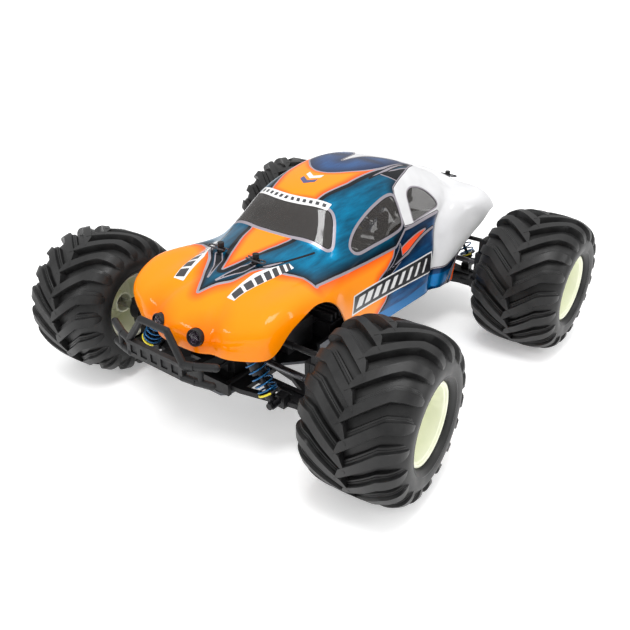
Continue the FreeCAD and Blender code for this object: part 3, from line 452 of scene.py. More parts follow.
def chart_of(kind, points):
    """(a, y) of points given as kind "a": (a, y), or as kind "s": side view, (y, z)"""
    if kind == "a":
        return np.asarray(points, float)
    y, z = whole.point[..., 1], whole.point[..., 2]
    return np.array([skin_at(y, z, q, (whole.a, y), whole.a > 55) for q in points])


def dense(points, step=3.0):
    """points with straight runs cut into short steps"""
    p = np.asarray(points, float)
    out = [p[:1]]
    for a, b in zip(p, p[1:]):
        count = max(1, int(np.linalg.norm(b - a) / step))
        t = np.linspace(0, 1, count + 1)[1:, None]
        out.append(a + (b - a) * t)
    return np.vstack(out)


def outline(*runs, smooth=False):
    """a line on the skin in (a, y), from runs of (kind, points)"""
    return np.vstack([chart_of(kind, spline(points, 6) if smooth else dense(points)) for kind, points in runs])


def lift(line):
    """the points in space of a line in (a, y); a below 0 lies on the right half"""
    out = []
    for a, y in line:
        point = skin_at(whole.a, whole.point[..., 1], (abs(a), y), (whole.point,))[0]
        out.append(point if a >= 0 else point * MIRROR[:3])
    return np.array(out)


# Distances to outlines are only worked out up to FAR mm.
FAR = 40.0
MIRROR = np.array([-1, 1, 1, -1, 1, 1, 1], float)


def signed(table, line, across=False):
    """distance in mm to an outline on the skin, negative inside it. across: the shape meets the middle line,
    and only its left half is drawn, from front or back to the other end"""
    line = np.asarray(line, float)
    closed = np.vstack([line, [(-60, line[-1][1]), (-60, line[0][1])]]) if across else np.vstack([line, line[:1]])
    space = lift(line if across else closed)
    near = np.all(np.abs(table[:, :3] - (space.max(0) + space.min(0)) / 2) <= np.ptp(space, axis=0) / 2 + FAR, axis=1)
    value = np.full(len(table), FAR)
    value[near] = np.minimum(distance_to(table[near, :3], space), FAR)
    value[inside(table[:, [6, 1]], closed)] *= -1
    return value


# ================================================================ cutting

BASE = ["x", "y", "z", "nx", "ny", "nz", "a"]


def ring_of(row):
    """the points of a face without the repeats that pad its row"""
    return [row[0]] + [b for a, b in zip(row, row[1:]) if a != b]


def padded(rings, width):
    return [r + [r[-1]] * (width - len(r)) for r in rings]


class Sheet:
    """A mesh on the skin. Its points carry named columns, which every cut interpolates."""

    def __init__(self, rows, faces, names=None):
        self.rows, self.faces = rows, faces
        self.names = list(names or BASE)

    def column(self, name):
        return self.rows[:, self.names.index(name)]

    def add(self, name, values):
        self.rows = np.column_stack([self.rows, values])
        self.names.append(name)

    def middle(self, name):
        return self.column(name)[self.faces].mean(axis=1)

    def pick(self, mask):
        faces = self.faces[mask]
        used = np.zeros(len(self.rows), bool)
        used[faces.ravel()] = True
        index = np.cumsum(used) - 1
        return Sheet(self.rows[used], index[faces], self.names)

    def cut(self, name, level=0.0):
        """splits the faces that cross the level, with shared points along the cut"""
        f = self.column(name) - level
        f = np.where(np.abs(f) < 1e-3, 1e-3, f)
        good = f > 0
        state = good[self.faces]
        mixed = state.any(axis=1) & ~state.all(axis=1)
        made, extra, rings = {}, [], []
        for row in self.faces[mixed].tolist():
            ring = ring_of(row)
            parts = {True: [], False: []}
            for a, b in zip(ring, ring[1:] + ring[:1]):
                parts[bool(good[a])].append(a)
                if good[a] == good[b]:
                    continue
                key = (a, b) if a < b else (b, a)
                if key not in made:
                    t = f[key[0]] / (f[key[0]] - f[key[1]])
                    made[key] = len(self.rows) + len(extra)
                    extra.append(self.rows[key[0]] * (1 - t) + self.rows[key[1]] * t)
                parts[True].append(made[key])
                parts[False].append(made[key])
            rings += [part for part in parts.values() if len(part) > 2]
        if extra:
            width = max([self.faces.shape[1]] + [len(r) for r in rings])
            self.rows = np.vstack([self.rows, extra])
            self.faces = np.array(padded(self.faces[~mixed].tolist() + rings, width), np.int64)

    def keep(self, name, above=True):
        """cuts at 0 and keeps one side"""
        self.cut(name)
        return self.pick((self.middle(name) > 0) == above)

    def flipped(self):
        rows = self.rows.copy()
        rows[:, :7] *= MIRROR
        return Sheet(rows, self.faces[:, ::-1], self.names)

    def whole_width(self):
        """the sheet with its right half; points on the middle line are shared"""
        centre = np.abs(self.rows[:, 0]) < 1e-3
        other = self.rows[~centre].copy()
        other[:, :7] *= MIRROR
        index = np.where(centre, np.arange(len(self.rows)), np.cumsum(~centre) - 1 + len(self.rows))
        return Sheet(np.vstack([self.rows, other]), np.vstack([self.faces, index[self.faces[:, ::-1]]]), self.names)


def thicken(sheet, kinds, front, back, back_kind):
    """a closed slab: front and back are heights in mm above the skin. Returns points, faces, the material
    index of each face and the row that each point came from"""
    n = len(sheet.rows)
    normal = sheet.rows[:, 3:6] / np.linalg.norm(sheet.rows[:, 3:6], axis=1, keepdims=True)
    points = np.vstack([sheet.rows[:, :3] + normal * front, sheet.rows[:, :3] + normal * back])
    rings = [ring_of(r) for r in sheet.faces.tolist()]
    once = {}
    for ring, kind in zip(rings, kinds):
        for a, b in zip(ring, ring[1:] + ring[:1]):
            if (b, a) in once:
                del once[(b, a)]
            else:
                once[(a, b)] = kind
    faces = rings + [[i + n for i in reversed(ring)] for ring in rings]
    faces += [[b, a, a + n, b + n] for a, b in once]
    indices = list(kinds) + [back_kind] * len(rings) + list(once.values())
    return points, faces, indices, np.tile(np.arange(n), 2)


# ================================================================ paint plan

# Lines of the windows and of the painted shapes, on the left half. "a" runs are (arc length across the
# section from the middle line, y), "s" runs are side view (y, z).
WINDSCREEN = outline(("a", [(0, -88.5), (18, -87.5), (34, -84.5), (48, -81.5), (57, -79.5), (61, -77.5), (62, -74),
                            (59, -68), (54, -61), (50, -58), (46, -57), (38, -58.5), (20, -63.5), (0, -65.5)]),
                     smooth=True)
SIDE_GLASS = outline(("s", [(-50, 153), (-52, 157), (-46, 163), (-34, 170), (-18, 176.5), (-2, 181), (16, 184),
                            (29, 183), (32, 177), (33.5, 166), (34, 157), (30, 152.5), (12, 151), (-20, 150.8),
                            (-42, 150.8), (-50, 153)]), smooth=True)
QUARTER_GLASS = outline(("s", [(58, 152), (57, 158), (56.5, 170), (58, 178), (66, 181), (76, 180), (88, 176),
                               (99, 170), (108, 162), (112, 155), (110, 151.5), (96, 150.5), (74, 150.2),
                               (60, 150.2), (58, 152)]), smooth=True)
TEAL = outline(("a", [(0, -188), (8, -174), (16, -163), (24, -148), (36, -136), (48, -129), (57, -123),
                      (66, -120), (75, -121), (82, -122)]),
               ("s", [(-120, 147), (-81, 142), (-36, 139), (17, 137), (38, 148.5), (52, 147.5), (111, 146),
                      (126, 148)]),
               ("a", [(60, 125), (0, 125)]))
DARK = outline(("a", [(118, 18), (125, 15), (133, 11), (142, -2), (145, -15), (152, -20), (165, 8), (180, 1),
                      (190, -13), (214, -45), (260, -45), (260, 128), (100, 128)]),
               ("s", [(122, 150), (52, 151), (38, 151)]))
WHITE = outline(("a", [(0, 25), (3, 45), (6, 57), (12, 66), (17, 71), (25, 80), (33, 88), (36, 111), (43, 90),
                       (51, 72), (61, 46)]),
                ("s", [(37, 189), (35, 183), (38, 160), (40, 151), (53, 149), (111, 147.5), (117, 143), (110, 132),
                       (106, 117), (96, 96), (91, 86), (98, 81), (112, 83), (126, 92), (134, 99)]),
                ("a", [(230, 134), (230, 260), (0, 260)]))
FLAME = outline(("a", [(0, -62), (27, -56), (29, -45), (33, -31), (36, -18), (37, -3), (38.5, 18), (41, 50),
                       (30, 45), (0, 45)]))
OVAL = outline(("a", [(0, -12), (7, -11), (16, -6), (24, 2), (31, 11), (36, 23), (39, 38), (39, 55), (37.5, 75),
                      (35.5, 100), (20, 104), (0, 104)]), smooth=True)
TRIANGLE = outline(("a", [(0, -157), (8, -138), (20, -106), (25, -86), (25, -80), (0, -80)]))
RED = outline(("a", [(128, 29), (115, 80), (130, 56), (138, 20), (128, 29)]))
SHARD = [outline(("a", [(123, 25), (129, 22), (140, 10), (149, -13), (150, 6), (140, 28), (123, 25)])),
         outline(("a", [(46, 29), (47, 56), (44, 96), (55, 62), (59, 50), (46, 29)])),
         outline(("a", [(5, -171), (13, -155), (24, -141), (19, -139), (12, -146), (5, -171)]))]
SILVER = [outline(("a", [(30, -141), (42, -117), (53, -90), (44, -112), (36, -134), (30, -141)])),
          outline(("a", [(45, 10), (45.5, 42), (36, 112), (43, 42), (45, 10)])),
          outline(("a", [(146, -8), (139, 40), (112, 100), (110, 98), (136, 38), (146, -8)])),
          outline(("a", [(170, 8), (176, 38), (168, 90), (172, 60), (170, 8)]))]
ROCKER = outline(("s", [(-12, 70), (46, 66), (99, 72), (127, 76), (129, 60), (99, 57), (46, 53), (-12, 54),
                        (-12, 70)]))


WINDOWS = {"windscreen": (WINDSCREEN, True), "side_window": (SIDE_GLASS, False),
           "quarter_window": (QUARTER_GLASS, False)}
# Painted shapes: the outlines, and whether they meet the middle line.
SHAPES = {"teal": ([TEAL], True), "dark": ([DARK], False), "white": ([WHITE], True), "flame": ([FLAME], True),
          "oval": ([OVAL], True), "triangle": ([TRIANGLE], True), "red": ([RED], False), "shard": (SHARD, False),
          "silver": (SILVER, False), "rocker": ([ROCKER], False)}
# The distance to the nearest of these darkens or warms the paint beside it.
BORDERS = ("teal", "dark", "flame", "oval", "triangle", "red", "white")


def paint_fields(table):
    windscreen, side, quarter = (signed(table, line, across) for line, across in WINDOWS.values())
    fields = {"front_glass": np.minimum(windscreen, side), "rear_glass": quarter}
    for name, (lines, across) in SHAPES.items():
        fields[name] = np.min([signed(table, line, across) for line in lines], axis=0)
    return fields


def trim_field(table):
    """distance in side view to the cut-away region under the body, positive on the body"""
    below = [(260, 120), (260, 0), (-260, 0), (-260, 103.5), (-200, 104.5)]
    region = np.vstack([spline(TRIM_ARCH, 6), [(133, 54.5)], spline(TRIM_REAR, 6), below])
    side = table[:, [1, 2]]
    return distance_to(side, np.vstack([region, region[:1]])) * np.where(inside(side, region), -1, 1)


def hole_field(table):
    """distance to the holes for the lamps and the body posts, positive outside them"""
    p = table[:, :3]
    axis = np.array(LAMP_AXIS) / np.linalg.norm(LAMP_AXIS)
    off = np.linalg.norm(np.cross(p - LAMP, axis), axis=1) - LAMP_HOLE
    field = np.where(p[:, 1] < -190, off, FAR)
    for x, y in POSTS:
        field = np.minimum(field, np.hypot(p[:, 0] - x, p[:, 1] - y) - POST_HOLE)
    return field


# ================================================================ paint and body materials

# Each layer covers the ones before it: where the named distance is below the level, the paint changes.
LAYERS = [(name, level, paint) for name, steps in (
    ("dark", ((2.2, "silver"), (0.0, "black"), (-3.0, "blue"))),
    ("red", ((1.4, "silver"), (0.0, "ember"))),
    ("teal", ((2.6, "silver"), (0.0, "black"), (-1.8, "teal"))),
    ("flame", ((5.5, "black"), (1.6, "silver"), (0.0, "flame"))),
    ("oval", ((1.8, "silver"), (0.0, "oval"))),
    ("triangle", ((6.0, "black"), (1.6, "silver"), (0.0, "flame"))),
    ("shard", ((1.2, "silver"), (0.0, "black"))),
    ("silver", ((1.1, "black"), (0.0, "silver"))),
    ("rocker", ((0.0, "bright"),)),
    ("white", ((1.9, "silver"), (0.7, "black"), (0.0, "white"))),
    ("rear_glass", ((1.6, "silver"),)),
    ("front_glass", ((3.7, "silver"), (0.6, "black"))),
) for level, paint in steps]
PAINTS = ["orange", "teal", "blue", "oval", "flame", "ember", "silver", "black", "white", "bright", "backing"]


def clear_coated(s, color, metal=0.0, rough=0.3):
    s.set(color=color, metal=metal, rough=rough, specular=0.05, coat=0.34, coat_rough=0.03)
    return s.bump(s.noise(150.0, 2.0), 0.00004)


def paint_orange():
    s = Shade("paint_orange")
    color = s.shade(s.attribute("along"), (1.0, 0.265, 0.0), (1.0, 0.30, 0.016), -150.0, -60.0)
    # painted shade: the orange darkens around the lamps and in the hollow beside them
    color = s.mix(s.attribute("lamp_shade"), color, (1.0, 0.19, 0.0))
    color = s.mix(s.span(s.attribute("edge"), 2.5, 13.0, 0.9, 0.0), color, (0.86, 0.075, 0.012))
    return clear_coated(s, color)


def paint_streaked(name, dark, light, border, metal):
    """flaked metallic paint with long brush streaks, darker towards its border"""
    s = Shade("paint_" + name)
    color = s.shade(s.noise(26.0, 5.0, 0.62, (7.0, 0.9, 7.0)), dark, light, 0.32, 0.70)
    color = s.mix(s.span(s.attribute("edge"), 1.5, 14.0, 0.95, 0.0), color, border)
    return clear_coated(s, color, metal, s.span(s.cells(2600.0), 0.0, 0.7, 0.26, 0.36))


def paint_flame():
    s = Shade("paint_flame")
    return clear_coated(s, s.shade(s.attribute("edge"), (0.86, 0.08, 0.012), (1.0, 0.27, 0.002), 0.5, 7.0))


def paint_flat(name, color, metal=0.0):
    s = Shade("paint_" + name)
    return clear_coated(s, s.shade(s.noise(40.0), times(color, 0.9), color), metal)


def backing():
    """the inner side of the shell, where the sprayed paint shows"""
    s = Shade("body_backing")
    s.set(color=s.shade(s.noise(120.0, 4.0, 0.6), (0.19, 0.12, 0.115), (0.27, 0.17, 0.16), 0.35, 0.65), rough=0.5,
          coat=0.3, coat_rough=0.2)
    return s.bump(s.noise(900.0), 0.00004)


def body_paints():
    """in the order of PAINTS"""
    return [paint_orange(),
            paint_streaked("teal", (0.0, 0.082, 0.165), (0.0, 0.195, 0.37), (0.0, 0.010, 0.022), 0.75),
            paint_streaked("blue", (0.0, 0.04, 0.16), (0.0, 0.15, 0.42), (0.001, 0.006, 0.02), 0.7),
            paint_streaked("oval", (0.0, 0.045, 0.19), (0.003, 0.10, 0.32), (0.0, 0.014, 0.07), 0.6),
            paint_flame(), paint_flat("ember", (0.87, 0.085, 0.022)),
            paint_flat("silver", (0.36, 0.33, 0.37), 0.35), paint_flat("black", (0.006, 0.007, 0.010)),
            paint_flat("white", (0.72, 0.72, 0.73)), paint_flat("bright", (0.0, 0.17, 0.46), 0.5), backing()]


def glass():
    s = Shade("window_tint_painted_shade")
    # painted shade: the pane's dark, partly opaque colour stands in for the shaded cabin seen through the clear lexan
    s.set(color=s.mix(s.noise(30.0, 2.0), (0.020, 0.017, 0.015), (0.035, 0.030, 0.027)), rough=0.06, alpha=0.66,
          ior=1.5, coat=0.6, coat_rough=0.02)
    return s.material


def lamp_shade(table):
    """painted shade: how much the orange darkens around the lamps and in the hollow beside them, where shade falls"""
    p = np.abs(table[:, :3]) * [1, 0, 0] + table[:, :3] * [0, 1, 1]
    lamp = np.linalg.norm(p - np.array(LAMP), axis=1)
    hollow = np.linalg.norm((p - [36, -205, 128]) * [1.0, 0.8, 1.0], axis=1)
    return np.clip(1.1 - lamp / 24.0, 0, 0.75) + np.clip(0.75 - hollow / 30.0, 0, 0.6)


def add_slabs(name, sheet, kinds, heights, materials, across=False, back=0):
    """one piece over the whole width of the body, or one on each side"""
    for tag, half in [("", sheet.whole_width())] if across else [("_left", sheet), ("_right", sheet.flipped())]:
        points, faces, indices, _ = thicken(half, list(kinds) * (2 if across else 1), *heights, back)
        piece = make(name + tag, points, faces, materials, indices, 50.0)
        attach(piece, "chassis")


def body_pieces():
    """the painted shell and its window panes"""
    # the panes' material, whose dark colour is painted shade of the cabin behind them
    clear = glass()
    sheet = whole.sheet()
    sheet.add("trim", trim_field(sheet.rows))
    sheet.add("holes", hole_field(sheet.rows))
    sheet = sheet.keep("trim").keep("holes")
    for name, (line, across) in WINDOWS.items():
        sheet.add(name, signed(sheet.rows, line, across))
        sheet.cut(name)
        pane = sheet.pick(sheet.middle(name) < 0)
        sheet = sheet.pick(sheet.middle(name) > 0)
        add_slabs(name, pane, [0] * len(pane.faces), (-0.15, -1.1), clear, across)
    for key, values in paint_fields(sheet.rows).items():
        sheet.add(key, values)
    for key, level, _ in LAYERS:
        sheet.cut(key, level)
    kinds = np.zeros(len(sheet.faces), int)
    for key, level, paint in LAYERS:
        kinds[sheet.middle(key) < level] = PAINTS.index(paint)
    sheet.add("edge", np.min([np.abs(sheet.column(k)) for k in BORDERS], axis=0))
    sheet.add("along", sheet.column("y"))
    sheet.add("lamp_shade", lamp_shade(sheet.rows))
    full = sheet.whole_width()
    points, faces, indices, rows = thicken(full, list(kinds) * 2, 0.0, -SHELL_T, PAINTS.index("backing"))
    attributes = {k: full.column(k)[rows] for k in ("edge", "along", "lamp_shade")}
    shell = make("body_shell_painted", points, faces, body_paints(), indices, 50.0, attributes)
    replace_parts(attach(shell, "chassis"), "body_shell")


body_pieces()


# ================================================================ stickers

def patch_around(line, spacing, pad=6.0):
    """a fine patch of the skin that holds the line, on the left half"""
    a, y = np.asarray(line, float).T
    across, along = whole.a, whole.point[..., 1]
    i, j = np.nonzero((across > a.min() - pad) & (across < a.max() + pad)
                      & (along > y.min() - pad) & (along < y.max() + pad))
    return Patch(even(whole.u[i.min()], whole.u[i.max()], row_steps, spacing),
                 even(whole.v[j.min()], whole.v[j.max()], column_steps, spacing))


def sticker(name, line, marks, plain, mark, materials, across=False, inner=None):
    """A vinyl sticker that follows the skin. Its marks, and what lies outside inner, have the mark's material;
    plain and mark are numbers of materials."""
    sheet = patch_around(line, 0.8).sheet()
    sheet.add("line", signed(sheet.rows, line, across))
    sheet = sheet.keep("line", above=False)
    marked = ["mark%d" % k for k in range(len(marks))]
    for key, shape in zip(marked, marks):
        sheet.add(key, signed(sheet.rows, shape))
    if inner is not None:
        sheet.add("inner", -signed(sheet.rows, inner))
        marked.append("inner")
    for key in marked:
        sheet.cut(key)
    kinds = np.full(len(sheet.faces), plain)
    for key in marked:
        kinds[sheet.middle(key) < 0] = mark
    add_slabs(name, sheet, kinds, (0.12, -0.05), materials, across, plain)


def vinyl(name, color):
    s = Shade(name)
    s.set(color=s.shade(s.noise(90.0), times(color, 0.93), color), rough=0.3, coat=0.6, coat_rough=0.08)
    return s.bump(s.noise(700.0, 2.0), 0.00001)


def bar_marks(start, end, half_width, first, last, count, slant):
    """slanted blocks along a straight strip in (a, y); widths shrink from first to last"""
    start, end = np.array(start, float), np.array(end, float)
    length = np.linalg.norm(end - start)
    along = (end - start) / length
    across = np.array([-along[1], along[0]])
    widths = np.linspace(first, last, count)
    gap = (length - sum(widths)) / (count - 1)
    marks = []
    at = 0.0
    for width in widths:
        corners = [start + along * (s + slant * w) + across * w * half_width
                   for s, w in ((at, -1), (at + width, -1), (at + width, 1), (at, 1))]
        marks.append(np.array(corners + corners[:1]))
        at += width + gap
    return marks


def side_blocks():
    """leaning blocks between the side sticker's upper and lower edge, narrower towards the rear"""
    count, first, pitch, lean, margin = 9, -55.0, 16.2, 3.2, 3.6
    blocks = []
    for k in range(count):
        y0 = first + pitch * k
        width = 11.5 - 0.9 * k
        top = 111.0 - 0.0447 * (y0 + 61) - margin
        low = 93.6 - 0.0771 * (y0 + 61) + margin
        corners = [(y0 + lean, top), (y0 + width + lean, top - 0.3), (y0 + width - lean, low - 0.5), (y0 - lean, low)]
        blocks.append(outline(("s", corners + corners[:1])))
    return blocks


def banner_line(a, low):
    """the y of the banner's edges: its rear one at low 0, its front one at low 1"""
    return -58.2 - 7.4 * low + (8.5 - 0.5 * low) * (a / 43.0) ** 2


def banner_dash(a0):
    corners = [(a0, 0.27), (a0 + 3.6, 0.27), (a0 + 4.6, 0.73), (a0 + 1, 0.73)]
    points = [(a, banner_line(a, low)) for a, low in corners]
    return np.array(points + points[:1])


def stickers():
    white, black = vinyl("vinyl_white", (0.80, 0.80, 0.80)), vinyl("vinyl_black", (0.012, 0.012, 0.016))
    navy = vinyl("vinyl_navy", (0.02, 0.035, 0.16))
    pair = [white, black]
    panel = outline(("s", [(-63, 113), (92, 106), (94, 80), (-66, 92), (-63, 113)]))
    inner = outline(("s", [(-61, 111.4), (90.4, 104.5), (92, 81.6), (-63.6, 93.6), (-61, 111.4)]))
    sticker("side_sticker", panel, side_blocks(), 1, 0, pair, inner=inner)
    strip = outline(("a", [(27.5, -181), (31, -150), (45, -117), (51.5, -117), (44, -154), (38, -183), (27.5, -181)]))
    marks = bar_marks((33.6, -179.5), (47.2, -118.5), 4.3, 9.6, 3.4, 7, 1.0)
    sticker("hood_sticker", strip, marks, 0, 1, pair)
    edges = [(a, banner_line(a, 0)) for a in np.linspace(0, 43, 12)]
    edges += [(a, banner_line(a, 1)) for a in np.linspace(43, 0, 12)]
    sticker("windscreen_banner", np.array(edges), [banner_dash(1.5 + 6.8 * k) for k in range(6)], 0, 1, pair, True)
    for k, (y0, ink) in enumerate(((-40, navy), (-30, white))):
        chevron = np.array([(0, y0), (9, y0 + 6), (9, y0 + 12), (0, y0 + 6)], float)
        sticker("roof_badge_%d" % (k + 1), dense(chevron, 2.0), [], 0, 0, [ink], True)


stickers()


# ================================================================ tyres

LUGS = 18
CARCASS = [(0, 67.2), (20, 66.6), (33, 64.2), (41, 60.2), (45.6, 55), (47.5, 50), (47.2, 44.5), (45.4, 40.2),
           (43.2, 37.6), (41.4, 36.8)]
BEAD_SHIFT = 3.6
ENVELOPE = [(0, 75.0), (20, 74.4), (34, 71.6), (43, 66), (47.6, 58), (48.5, 51), (46.5, 46)]
ROOT = [(0, 66.2), (20, 65.6), (33, 63.4), (39.6, 58.8), (43, 51.8), (43.4, 45.2), (42, 40)]


def rubber():
    s = Shade("tyre_rubber")
    dust = s.noise(70.0, 5.0, 0.6)
    s.set(color=s.shade(dust, (0.008, 0.008, 0.0083), (0.018, 0.018, 0.018), 0.35, 0.7),
          rough=s.span(dust, 0.3, 0.7, 0.36, 0.50), specular=0.34)
    return s.bump(s.noise(900.0, 3.0, 0.6), 0.00006)


def even_section(profile, count=200):
    """points at even steps along a smooth profile of (x, r)"""
    p = spline(profile, 12)
    run = run_of(p)
    t = np.linspace(0, run[-1], count)
    return np.column_stack([np.interp(t, run, p[:, k]) for k in range(2)])


def carcass():
    """the bare tyre: its inner bead sits nearer the middle, on the rim's inner flange"""
    half = [(x + 0.5 if 40.2 < r < 42.0 and x > 40 else x, r) for x, r in spline(CARCASS, 5).tolist()]
    inner_half = [(BEAD_SHIFT * max(0.0, (45 - r) / 8.2) - x, r) for x, r in reversed(half[1:])]
    outer = inner_half + half
    inner = [(x * 0.93, r - 2.6 if r > 50 else r) for x, r in reversed(outer)]
    return lathe(outer + inner, 180)


# A lug's outline across its length: (mm along the tread, share of the height from root to top).
LUG = [(-8.2, -0.1), (-7.3, 0.44), (-7.0, 0.50), (-5.2, 0.52), (-4.9, 0.60), (-4.6, 0.62), (-3.0, 0.63), (-2.6, 0.95),
       (-2.3, 1.0), (7.0, 1.0), (7.35, 0.94), (8.3, -0.1)]
LUG_END, LUG_ROUND = 58.5, 12.0
# Over its first part the bar's inner end is cut at a slant.
SLANT_END = 16.0
# Lengths round the tyre become angles at this radius.
TREAD_RADIUS = 72.0


def lug(side, start, top, low):
    """one bar from the middle of the tread to the sidewall, between the sections top and low; start is its
    angle, and its inner end leads"""
    run = run_of(top)
    share = np.linspace(0, 1, len(low))
    nose = LUG_END - LUG_ROUND
    path = np.concatenate([np.linspace(-3.0, nose - 1, 20),
                           nose + LUG_ROUND * np.sin(np.linspace(0.0, 1, 10) * math.pi / 2)])
    points = []
    for s in path:
        past = max(0.0, (s - nose) / LUG_ROUND)
        taper = math.sqrt(max(0.0, 1 - past ** 2)) * 0.95 + 0.05
        skew = max(0.0, 1 - max(s, 0) / SLANT_END)
        for w, h in LUG:
            q = s + skew * (-0.55 * w + 1.0)
            at = max(q, 0.0)
            x, r = (np.interp(at, run, top[:, k]) for k in range(2))
            x0, r0 = (np.interp(min(at / run[-1], 1.0), share, low[:, k]) for k in range(2))
            if q < 0:
                x = x0 = q
            lead = 0.80 * min(x, 30) + 0.30 * max(x - 30, 0)
            height = h * (0.45 + 0.55 * taper) if h > 0 else h
            radius = r0 + (r - r0) * height
            angle = start + (lead - w * taper) / TREAD_RADIUS
            points.append((side * (x0 + (x - x0) * height), math.sin(angle) * radius, math.cos(angle) * radius))
    faces = rod_faces(len(path), len(LUG))
    return points, faces if side > 0 else [tuple(reversed(f)) for f in faces]


def tyre_mesh():
    points, faces = carcass()
    points = points.tolist()
    top, low = even_section(ENVELOPE), even_section(ROOT)
    for side, shift in ((1, 0.0), (-1, 0.5)):
        for k in range(LUGS):
            more, quads = lug(side, 2 * math.pi * (k + shift) / LUGS, top, low)
            faces += [tuple(i + len(points) for i in f) for f in quads]
            points += more
    obj = make("tyre_master", points, faces, rubber(), angle=None)
    mesh = obj.data
    with editing(mesh) as work:
        bmesh.ops.recalc_face_normals(work, faces=work.faces)
    sharpen(mesh, 26.0)
    bpy.data.objects.remove(obj)
    return mesh


def wheel_axis(tag, side):
    joint = JOINTS["road_wheel_%s_spin" % tag]
    origin = [v / MM for v in joint["pos_m"]]
    return origin, [v * side for v in joint["axis"]]


# ================================================================ wheels

def wheel_plastic():
    s = Shade("wheel_cream")
    s.set(color=s.shade(s.noise(45.0), (0.82, 0.85, 0.64), (0.90, 0.91, 0.74)), rough=0.42, coat=0.25,
          coat_rough=0.2)
    return s.bump(s.noise(900.0, 2.0), 0.00003)


def steel():
    s = Shade("steel_screw")
    tone = s.noise(500.0)
    s.set(color=s.mix(tone, (0.30, 0.30, 0.31), (0.55, 0.55, 0.56)), metal=1.0,
          rough=s.span(tone, 0.3, 0.7, 0.24, 0.38))
    return s.bump(tone, 0.00001)


# Profiles of (mm outward along the axle, radius).
RIM = [(-36, 31.2), (-36, 35.6), (-35.2, 36.5), (-33.8, 36.3), (-33.2, 35.2), (-33.0, 33.4), (38.0, 33.4),
       (38.2, 35.4), (38.8, 36.4), (40.2, 36.6), (41.2, 36.0), (41.5, 34.8), (41.0, 33.6), (39.4, 32.9),
       (38.8, 32.0), (36, 31.2), (24, 30.4), (12, 29.4), (9.0, 28.4), (7.4, 26.6), (6.6, 24), (6.2, 16), (6.6, 13.2),
       (8.4, 12.4), (9.4, 11.6), (9.6, 9.5), (9.6, 6.2), (-2, 6.2), (-2, 9.5), (-22, 9.5), (-22, 11.0), (0, 11.6),
       (2, 14), (2, 26), (0, 29.2), (-20, 30.4)]
NUT = [(9.4, 0), (9.4, 5.8), (10.0, 6.4), (14.2, 6.4), (15.0, 5.6), (15.0, 3.0), (16.5, 2.9), (16.8, 2.4), (16.8, 0)]
AXLE = [(-52, 0), (-52, 4.0), (9.6, 4.0), (9.6, 0)]
CUP = [(-60, 5.6), (-60, 6.6), (-59.6, 7.0), (-52.4, 7.0), (-51.8, 6.4), (-51.8, 0), (-52.2, 0), (-52.2, 5.6)]


def wheels():
    cream, metal, tyre = wheel_plastic(), steel(), tyre_mesh()
    points, faces = lathe(RIM, 120)
    for tag, side, _ in CORNERS:
        body = "road_wheel_" + tag
        origin, axis = wheel_axis(tag, side)
        rolling = bpy.data.objects.new("tyre_rubber_" + tag, tyre)
        bpy.context.scene.collection.objects.link(rolling)
        place(rolling, origin, [v * side for v in axis])
        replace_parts(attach(rolling, body), "tyre_" + tag)
        rim = place(make("rim_" + tag, points, faces, cream, angle=28.0), origin, axis)
        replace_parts(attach(rim, body), "wheel_" + tag)
        for name, profile, segments, angle in (("wheel_nut_", NUT, 6, 20.0), ("stub_axle_", AXLE, 40, 35.0),
                                               ("axle_cup_", CUP, 48, 35.0)):
            piece = place(turned_piece(name + tag, profile, metal, segments, angle), origin, axis)
            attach(piece, body)


wheels()


# ================================================================ springs

SHOCK_TOP, SHOCK_LOW, SHOCK_OUT, AXLE_Y = (46, 120), (82, 60), 29, 157.5


def shock_line(side, end):
    y = end * (AXLE_Y + SHOCK_OUT)
    return (np.array([side * SHOCK_TOP[0], y, SHOCK_TOP[1]], float),
            np.array([side * SHOCK_LOW[0], y, SHOCK_LOW[1]], float))


# A spring's turns, mean radius and wire radius; how far its ends are from the damper's eyes above and below;
# and the share of its height that each closed end turn takes.
TURNS, COIL_RADIUS, WIRE, WIRE_SIDES = 8.0, 8.6, 0.85, 10
SEATS = (12.2, 12.1)
END_TURN = 0.045


def coil(top, low):
    """a coil spring with closed ends, between its seats on a damper whose eyes are top and low"""
    d = (low - top) / np.linalg.norm(low - top)
    e = np.cross(d, [0.0, 1.0, 0.0])
    e /= np.linalg.norm(e)
    g = np.cross(d, e)
    count = int(TURNS * 30)
    t = np.linspace(0, 1, count)
    rise = np.interp(t, [0, 1 / TURNS, 1 - 1 / TURNS, 1], [0, END_TURN, 1 - END_TURN, 1])
    first, last = SEATS[0] + WIRE, np.linalg.norm(low - top) - SEATS[1] - WIRE
    angle = 2 * math.pi * TURNS * t[:, None]
    radial = np.cos(angle) * e + np.sin(angle) * g
    centre = top + (first + (last - first) * rise)[:, None] * d + COIL_RADIUS * radial
    tangent = np.gradient(centre, axis=0)
    other = np.cross(tangent / np.linalg.norm(tangent, axis=1, keepdims=True), radial)
    around = np.linspace(0, 2 * math.pi, WIRE_SIDES, endpoint=False)
    points = np.stack([centre + WIRE * (math.cos(b) * radial + math.sin(b) * other) for b in around], axis=1)
    return points.reshape(-1, 3), rod_faces(count, WIRE_SIDES)


RING = [(0, 9.5), (0.9, 9.9), (1.8, 9.5), (1.6, 8.2), (0.2, 8.2)]


def spring_blue():
    s = Shade("spring_blue")
    tone = s.noise(300.0, 2.0)
    s.set(color=s.mix(tone, (0.0, 0.07, 0.20), (0.0, 0.14, 0.36)), metal=0.7, rough=0.25, coat=0.5, coat_rough=0.05)
    return s.bump(tone, 0.00001)


def ring_marked():
    """black, with a yellow mark on the side towards the nose"""
    s = Shade("spring_ring")
    yellow = s.mix(s.noise(300.0), (0.75, 0.60, 0.02), (0.85, 0.72, 0.04))
    across = s.node("SeparateXYZ", {0: s.coords}, "Y")
    s.set(color=s.mix(s.span(across, -0.0052, -0.0050, 1.0, 0.0), (0.012, 0.012, 0.013), yellow), rough=0.4)
    return s.material


